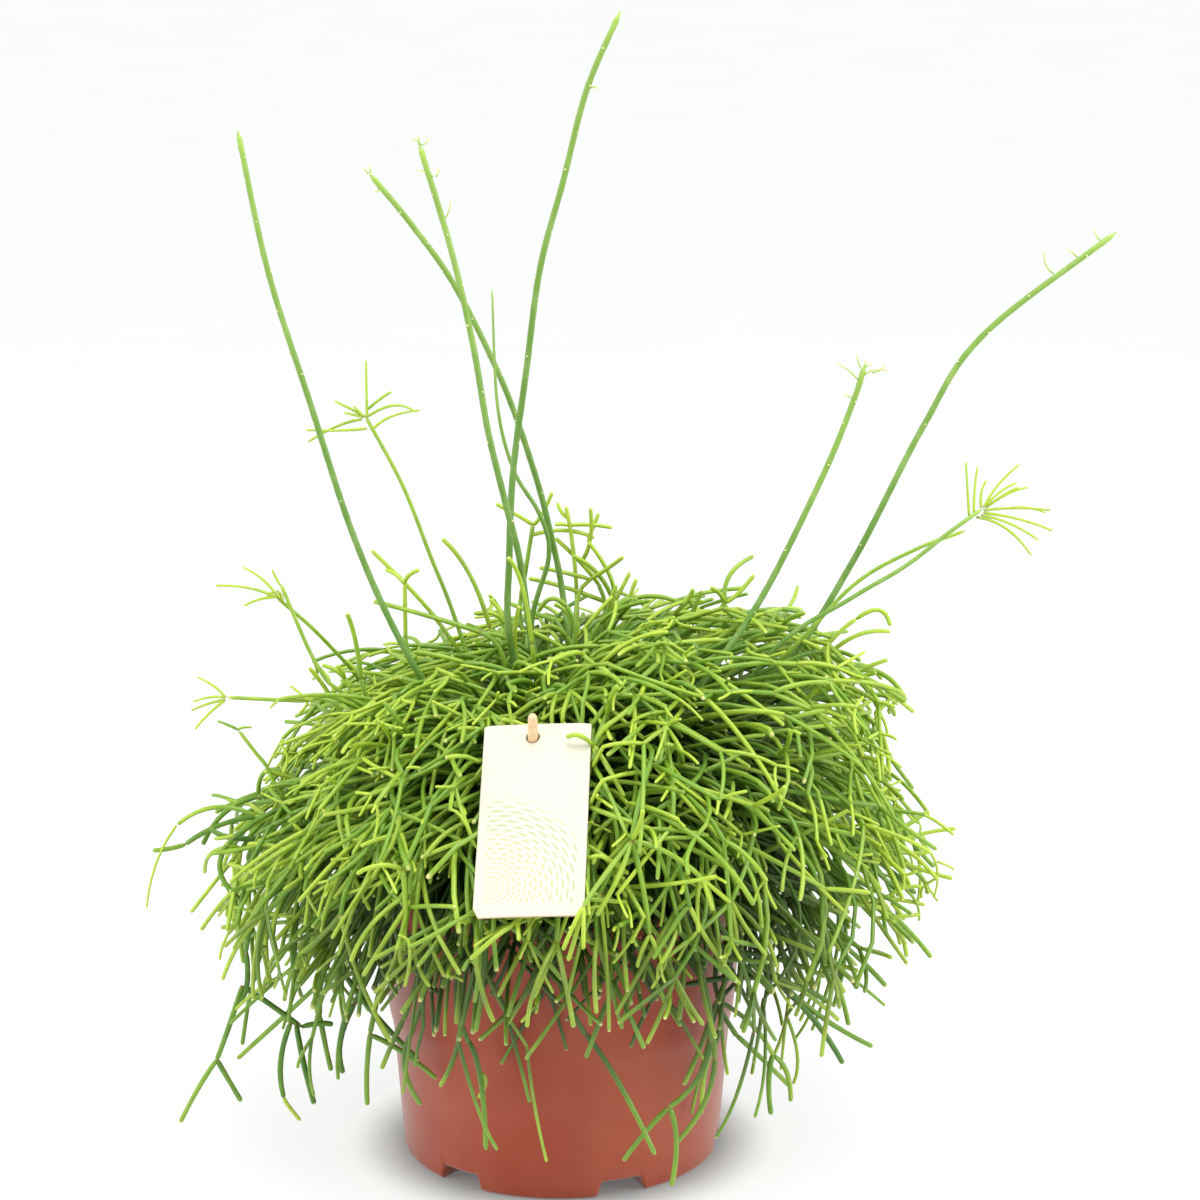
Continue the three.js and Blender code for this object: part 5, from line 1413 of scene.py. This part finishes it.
def pot_mesh(columns):
    """The pot as a closed profile turned about the upright axis, lifted over its bays.

    A point is the profile's radius at an even turn; its height grows by the bay's lift, which
    fades to nothing over the lowest part of the wall.
    """
    soft = 0.5 * MM
    fade_height = 16 * MM
    band_top = POT_TOP - RIM_DEPTH
    inner_foot = BASE_RADIUS + WALL_SLOPE * FLOOR - WALL
    inner_top = BASE_RADIUS + WALL_SLOPE * POT_TOP - WALL
    floor = [place * MM for place in (40, 47, 56)]

    def wall(height, rounding=soft, proud=0.0):
        """A corner of the sloping wall at a height."""
        return BASE_RADIUS + WALL_SLOPE * height + proud, height, rounding

    outside = rounded_profile([
        (0, 0, 0), *((place, 0, soft) for place in floor), (66 * MM, 0, soft),
        (BASE_RADIUS, 0, BASE_ROUNDING),
        wall(5 * MM), wall(10 * MM), wall(fade_height), wall(BAND_START, 3 * MM),
        wall(BAND_START + BAND_BLEND, 3 * MM, BAND_PROUD), wall(band_top, soft, BAND_PROUD),
        (RIM_RADIUS, band_top + 0.6 * MM, soft), (RIM_RADIUS, POT_TOP, 1.1 * MM),
        (inner_top, POT_TOP, 0.6 * MM), (inner_top - 0.2 * MM, POT_TOP - 3 * MM, 0)])
    inside = rounded_profile([
        (inner_top - 0.5 * MM, POT_TOP - 8 * MM, 0),
        (inner_foot + WALL_SLOPE * fade_height, fade_height, soft),
        (inner_foot, FLOOR, 1.2 * MM), *((place, FLOOR, soft) for place in reversed(floor)), (0, FLOOR, 0)])
    margin = np.concatenate([np.zeros(len(outside)), np.full(len(inside), FLOOR)])[1:-1, None]
    profile = np.concatenate([outside, inside])[1:-1]
    radius, height = profile[:, :1], profile[:, 1:]
    angle = turns(columns)
    fade = 1 - np.clip((height - margin) / fade_height, 0, 1)
    rings = polar(radius, angle, height + bay_lift(radius, angle, margin) * fade)
    return revolved(rings, [[0, 0, 0], [0, 0, FLOOR]])


def soil_mesh(lumps):
    """A plug of soil: a lumpy top of crossed sines over a plain tapered side and floor."""
    gap = 0.4 * MM
    top = np.linspace(0, 1, 31)[1:]
    wall = BASE_RADIUS + WALL_SLOPE * SOIL_EDGE - WALL - gap
    low = BAY_HEIGHT + FLOOR + 2 * MM
    foot = BASE_RADIUS + WALL_SLOPE * low - WALL - gap
    radius = np.concatenate([top * wall, [foot, foot * 0.5]])[:, None]
    height = np.concatenate([SOIL_EDGE + (SOIL_MIDDLE - SOIL_EDGE) * (1 - top ** 2), [low, low]])[:, None]
    angle = turns(180)
    across, deep = radius * np.cos(angle), radius * np.sin(angle)
    waves = sum(
        np.sin(k * (across * np.cos(turn) + deep * np.sin(turn)) / MM + 7 * turn)
        for k, turn in ((0.21, 0.4), (0.33, 2.1), (0.52, 1.2), (0.85, 2.8), (1.3, 0.1)))
    edge = np.concatenate([smooth((1 - top) * 6), [0, 0]])[:, None]
    rings = polar(radius, angle, height + lumps * 0.4 * waves * edge)
    return revolved(rings, [[0, 0, SOIL_MIDDLE], [0, 0, low]])


def card_mesh(bow):
    """The card as rings from its hole to its rounded edge, on the front and back.

    A ring lies between the hole's circle and the outline, which is a rectangle's distance along
    each ray with its corners cut to quarter circles. The sheet bows with the square of the
    distance from its middle line.
    """
    columns = 160
    angle = turns(columns) + np.pi / columns
    ray = np.stack([np.cos(angle), np.sin(angle)], -1)
    half = np.array([CARD_WIDTH / 2, CARD_HEIGHT / 2])
    middle = np.array([-CARD_HOLE_ACROSS, CARD_HEIGHT / 2 - CARD_HOLE_DROP])
    reach = np.where(ray > 0, half + middle, half - middle) / np.maximum(np.abs(ray), 1e-9)
    border = ray * reach.min(-1)[:, None]
    inset = np.abs(border - middle) - (half - CARD_CORNER)
    corner = np.all(inset > 0, -1)
    cut = np.linalg.norm(np.maximum(inset, 1e-9), axis=-1, keepdims=True)
    rounded = np.sign(border - middle) * (half - CARD_CORNER + inset / cut * CARD_CORNER) + middle
    border = np.where(corner[:, None] & (cut > CARD_CORNER), rounded, border)
    hole = ray * CARD_HOLE_RADIUS
    thick = CARD_THICKNESS / 2
    share = np.concatenate([[0, 0.002], np.linspace(0.03, 0.97, 13), [0.995, 1.0]])
    depth = np.concatenate([[0.6], np.ones(len(share) - 2), [0.5]]) * thick
    share = np.concatenate([share, share[::-1]])[:, None, None]
    depth = np.concatenate([depth, -depth[::-1]])[:, None]
    flat = hole + (border - hole) * share
    across, down = flat[..., 0], flat[..., 1]
    aside = across + CARD_HOLE_ACROSS
    lift = depth - bow * (aside / half[0]) ** 2
    points = (CARD_HOLE + across[..., None] * CARD_ACROSS + down[..., None] * CARD_DOWN
              + lift[..., None] * CARD_FACE)
    uv = np.stack([aside / CARD_WIDTH + 0.5, 1 - (down + CARD_HOLE_DROP) / CARD_HEIGHT], -1)
    edge = np.broadcast_to((share[..., 0] > 0.999) | (share[..., 0] < 0.001), across.shape)
    faces = [grid_faces(len(share), columns, wrap_rows=True)]
    return points.reshape(-1, 3), faces, {"cut": edge.ravel().astype(float)}, uv.reshape(-1, 2)


def stick_mesh():
    """A round stick with a rounded tip: rings along its line, closing as a quarter circle."""
    whole = np.linalg.norm(STICK_TIP - STICK_FOOT)
    turn = np.linspace(0, np.pi / 2, 7)
    tip = whole - STICK_RADIUS * (1 - np.sin(turn))
    place = np.concatenate([[0, 0.1 * MM], np.linspace(4 * MM, tip[0] - 1 * MM, 12), tip])
    narrow = 1 - 0.2 * smooth((place - whole + STICK_TAPER) / STICK_TAPER)
    radii = np.concatenate([[0, 0.8], np.ones(12), np.cos(turn) ** 0.8]) * narrow * STICK_RADIUS
    centres = STICK_FOOT + place[:, None] * STICK_ALONG
    return tube_mesh(centres[None], radii[None], np.array([[1.0, 0, 0]]), 24)


def spline(points, count):
    """Evenly shared points of a smooth curve through given ones.

    Between two points the curve is a cubic whose slope at each is half the step from the point
    before to the point after.
    """
    ends = np.concatenate([[2 * points[0] - points[1]], points, [2 * points[-1] - points[-2]]])
    share = np.linspace(0, len(points) - 1, count)
    piece = np.minimum(share.astype(int), len(points) - 2)
    t = (share - piece)[:, None]
    before, start, end, after = (ends[piece + i] for i in range(4))
    return 0.5 * (2 * start + (end - before) * t + (2 * before - 5 * start + 4 * end - after) * t ** 2
                  + (3 * start - before - 3 * end + after) * t ** 3)


def lengths_along(line):
    """How far along a line each of its points is."""
    return np.concatenate([[0], np.cumsum(np.linalg.norm(np.diff(line, axis=0), axis=-1))])


def places_on(line, wanted):
    """The places at given lengths along a line."""
    along = lengths_along(line)
    return np.stack([np.interp(wanted, along, line[:, i]) for i in range(3)], -1)


def route(cane):
    """A cane's centre line from the soil, through the dome and its given points, and its length."""
    around, from_top = np.radians(cane["leave"])
    leaving = in_dome(0.54, from_top, around)
    foot = polar(0.35 * np.hypot(leaving[0], leaving[1]), around, SOIL_EDGE)
    points = np.concatenate([[foot, leaving], np.array(cane["through"], float) * MM])
    line = spline(points, CANE_RINGS)
    whole = lengths_along(line)[-1]
    return places_on(line, np.linspace(0, whole, CANE_RINGS)), whole


def cane_rings(cane, radius, pointed):
    """A cane's rings: even along its route, tapering, with a rounded or a pointed end."""
    line, whole = route(cane)
    share = np.linspace(0, 1, CANE_RINGS)
    taper = 1 - (0.72 * share ** 1.6 if pointed else 0.24 * share)
    wobble = 1 + 0.035 * np.sin(share * whole / (9 * MM) * 2 * np.pi)
    end = np.sqrt(np.clip((1 - share) * whole / CANE_END, 0, 1))
    return line, radius * taper * wobble * np.where(share > 0, end, 0), share


def canes_mesh(kinds, margin):
    """Vertices, faces and traits of canes, each given with its radius and whether it is pointed.

    Their centre lines, kept clear by a margin, and their radii come last.
    """
    lines, radii, share = (np.stack(values) for values in zip(*(cane_rings(*kind) for kind in kinds)))
    lines = keep_clear(lines, margin)
    vertices, faces = tube_mesh(lines, radii, reference_for(lines), CANE_SIDES)
    ones = np.ones_like(share)
    tint = draw(np.arange(len(kinds)), 20)[:, None] * ones
    values = {"along": share, "age": 0.3 + 0.3 * share, "free": ones, "tint": tint}
    traits = {name: per_vertex(value, CANE_SIDES) for name, value in values.items()}
    traits["depth"] = depth_at(vertices)
    return vertices, faces, traits, lines, radii


def areoles(lines, radii, spacing):
    """Little tufts of wool in a golden spiral down each cane, closer together near its end.

    Counted from the end, the tufts stand at a third of the spacing times the count, plus a
    fortieth of the spacing times its square.
    """
    starts, outs = [], []
    for line, radius in zip(lines, radii):
        along = lengths_along(line)
        number = np.arange(60)
        place = along[-1] - spacing * (0.15 + number / 3 + number ** 2 / 40)
        kept = place > along[-1] * 0.5
        number, place = number[kept], place[kept]
        centre = places_on(line, place)
        behind = places_on(line, place - 2 * MM)
        out = deflect(unit(centre - behind), np.full(len(place), np.pi / 2), number * GOLDEN_ANGLE)
        starts.append(centre + out * (np.interp(place, along, radius) - 0.3 * MM)[:, None])
        outs.append(out)
    start, out = np.concatenate(starts), np.concatenate(outs)
    stems = FIRST_AREOLE + np.arange(len(start))
    controls = curves(start, out, between(0.6, 1.0, stems, 1) * MM, np.zeros(len(start)))
    radius = between(0.35, 0.55, stems, 2) * MM
    return Growth(stems, controls, radius, 1, np.zeros(len(start), int), taper=0.7)


class CACTUS_OT_pot(bpy.types.Operator):
    """Makes the moulded pot"""

    bl_idname = "cactus.pot"
    bl_label = "Pot"

    def execute(self, context):
        settings = context.scene.cactus_pot
        plastic = terracotta_plastic(settings)
        add_piece("moulded_pot", plastic, "pot_plastic", ["pot"], *pot_mesh(settings.columns))
        return {"FINISHED"}


class CACTUS_OT_soil(bpy.types.Operator):
    """Makes the soil in the pot"""

    bl_idname = "cactus.soil"
    bl_label = "Soil"

    def execute(self, context):
        settings = context.scene.cactus_pot
        peat = crumbly_peat(settings)
        add_piece("peat_soil", peat, "peat", ["soil"], *soil_mesh(settings.peat_lumps))
        return {"FINISHED"}


class CACTUS_OT_stems(bpy.types.Operator):
    """Makes the dome of stems, one piece for each bunch"""

    bl_idname = "cactus.stems"
    bl_label = "Stems"

    def execute(self, context):
        settings = context.scene.cactus_stems
        skin = green_stems(settings)
        thick, thin = grow_dome(settings)
        sides = [THICK_SIDES] * len(thick) + [THIN_SIDES] * len(thin)
        steps = [THICK_STEPS] * len(thick) + [THIN_STEPS] * len(thin)
        for bunch in range(RING_BUNCHES + 1):
            label = "middle" if bunch == 0 else f"{bunch:02d}"
            parts = [growth.chosen(growth.bunch == bunch) for growth in thick + thin]
            shape = stems_mesh(parts, sides, steps)
            add_piece(f"stem_bunch_{label}", skin, "green_stem", [f"stems_{label}"], *shape)
        return {"FINISHED"}


class CACTUS_OT_canes(bpy.types.Operator):
    """Makes the long canes, with their areoles and hair-thin shoots"""

    bl_idname = "cactus.canes"
    bl_label = "Canes"

    def execute(self, context):
        settings = context.scene.cactus_canes
        stems = context.scene.cactus_stems
        kinds = [(cane, settings.radius, False) for cane in CANES]
        kinds += [(spur, stems.radius * 1.05, False) for spur in SPURS]
        kinds += [(whip, stems.radius * 1.35, True) for whip in WHIPS]
        *shape, lines, radii = canes_mesh(kinds, stems.radius + CANE_GAP)
        add_piece("long_canes", cane_skin(settings), "green_stem", (), *shape)
        tufts = areoles(lines[:len(CANES)], radii[:len(CANES)], settings.spacing)
        add_piece("cane_areoles", areole_wool(settings), "green_stem", (), *stems_mesh([tufts], [6], [2]))
        hairs = placed_stems(HAIRS, FIRST_HAIR, settings.hair_radius, 0.5, 0.6)
        add_piece("young_shoots", young_shoots(settings), "green_stem", (), *stems_mesh([hairs], [6], [5]))
        return {"FINISHED"}


class CACTUS_OT_strays(bpy.types.Operator):
    """Makes the stray stems at the dome's sides, with the shoots that end them"""

    bl_idname = "cactus.strays"
    bl_label = "Stray Stems"

    def execute(self, context):
        stems = context.scene.cactus_stems
        skin = bpy.data.materials["green_stems"]
        kinds = [(stray, stems.radius * 0.95, False) for stray in STRAYS]
        *shape, _, _ = canes_mesh(kinds, stems.radius + CANE_GAP)
        add_piece("stray_stems", skin, "green_stem", (), *shape)
        rays = placed_stems(RAYS, FIRST_RAY, stems.twig_radius * 1.1, 0.45, 0.7)
        add_piece("stray_shoots", skin, "green_stem", (), *stems_mesh([rays], [7], [6]))
        return {"FINISHED"}


class CACTUS_OT_card(bpy.types.Operator):
    """Makes the plant card"""

    bl_idname = "cactus.card"
    bl_label = "Plant Card"

    def execute(self, context):
        settings = context.scene.cactus_card
        sheet = printed_card(settings)
        add_piece("printed_card", sheet, "card_plastic", ["plant_card"], *card_mesh(settings.bow))
        return {"FINISHED"}


class CACTUS_OT_stick(bpy.types.Operator):
    """Makes the wooden stick that carries the card"""

    bl_idname = "cactus.stick"
    bl_label = "Card Stick"

    def execute(self, context):
        wood = pale_wood(context.scene.cactus_card)
        add_piece("wooden_stick", wood, "stick_wood", ["card_stick"], *stick_mesh())
        return {"FINISHED"}


def add_light(name, place, power):
    """A square soft light that faces the plant."""
    light = bpy.data.lights.new(name, "AREA")
    light.size = LIGHT_SIZE
    light.energy = power
    holder = bpy.data.objects.new(name, light)
    bpy.context.scene.collection.objects.link(holder)
    holder.location = place
    facing = Vector(LIT_PLACE) - Vector(place)
    holder.rotation_euler = facing.to_track_quat("-Z", "Y").to_euler()
    holder.visible_camera = False


def floor_mesh():
    """A round floor whose far rim sweeps gently up with the square of the distance."""
    columns = 96
    radius = FLOOR_RADIUS * np.linspace(0.01, 1, 40)[:, None] ** 1.5
    height = FLOOR_SWEEP * np.maximum(0, radius - FLAT_RADIUS) ** 2
    rings = polar(radius, turns(columns), height)
    points = np.concatenate([rings.reshape(-1, 3), [[0, 0, 0]]])
    middle = fan(len(points) - 1, np.arange(columns))
    return points, [grid_faces(len(radius), columns)[:, ::-1], middle[:, ::-1]]


class CACTUS_OT_stage(bpy.types.Operator):
    """Sets up the floor, the lights and the camera"""

    bl_idname = "cactus.stage"
    bl_label = "Stage"

    def execute(self, context):
        scene = context.scene
        settings = scene.cactus_stage
        points, faces = floor_mesh()
        mesh = bpy.data.meshes.new("studio_floor")
        mesh.from_pydata(points.tolist(), [], [face for group in faces for face in group.tolist()])
        mesh.shade_smooth()
        mesh.materials.append(studio_paper(settings))
        floor = bpy.data.objects.new("studio_floor", mesh)
        scene.collection.objects.link(floor)
        world = bpy.data.worlds.new("studio_sky")
        world.use_nodes = True
        background = world.node_tree.nodes["Background"]
        background.inputs["Color"].default_value = (1, 1, 1, 1)
        background.inputs["Strength"].default_value = settings.sky
        scene.world = world
        add_light("overhead", OVERHEAD_PLACE, settings.key)
        add_light("right_side", RIGHT_PLACE, settings.side * RIGHT_SHARE)
        add_light("left_side", LEFT_PLACE, settings.side)
        camera = bpy.data.cameras.new("camera")
        camera.lens = settings.lens
        camera.sensor_width = SENSOR_WIDTH
        viewer = bpy.data.objects.new("camera", camera)
        viewer.location = CAMERA_PLACE
        viewer.rotation_euler = (CAMERA_TILT, 0, 0)
        scene.collection.objects.link(viewer)
        scene.camera = viewer
        scene.view_settings.view_transform = "Standard"
        return {"FINISHED"}


OPERATORS = (
    CACTUS_OT_pot, CACTUS_OT_soil, CACTUS_OT_stems, CACTUS_OT_canes, CACTUS_OT_strays, CACTUS_OT_card,
    CACTUS_OT_stick, CACTUS_OT_stage)

SETTINGS = {
    "cactus_pot": PotSettings,
    "cactus_stems": StemSettings,
    "cactus_canes": CaneSettings,
    "cactus_card": CardSettings,
    "cactus_stage": StageSettings,
}


class CACTUS_PT_panel(bpy.types.Panel):
    """Lists the pieces of the potted cactus with their settings"""

    bl_label = "Mistletoe Cactus"
    bl_idname = "CACTUS_PT_panel"
    bl_space_type = "VIEW_3D"
    bl_region_type = "UI"
    bl_category = "Mistletoe Cactus"

    def draw(self, context):
        for operator in OPERATORS:
            self.layout.operator(operator.bl_idname)
        for name, group in SETTINGS.items():
            box = self.layout.box()
            for key in group.__annotations__:
                box.prop(getattr(context.scene, name), key)


def register():
    """Registers the settings, the operators and the panel."""
    for name, group in SETTINGS.items():
        bpy.utils.register_class(group)
        setattr(bpy.types.Scene, name, PointerProperty(type=group))
    for cls in (*OPERATORS, CACTUS_PT_panel):
        bpy.utils.register_class(cls)


def unregister():
    """Removes what register added."""
    for cls in (CACTUS_PT_panel, *reversed(OPERATORS)):
        bpy.utils.unregister_class(cls)
    for name, group in reversed(SETTINGS.items()):
        delattr(bpy.types.Scene, name)
        bpy.utils.unregister_class(group)


def main():
    """Builds every piece in order."""
    register()
    bpy.ops.cactus.pot()
    bpy.ops.cactus.soil()
    bpy.ops.cactus.stems()
    bpy.ops.cactus.canes()
    bpy.ops.cactus.strays()
    bpy.ops.cactus.card()
    bpy.ops.cactus.stick()
    bpy.ops.cactus.stage()


if __name__ == "__main__":
    main()
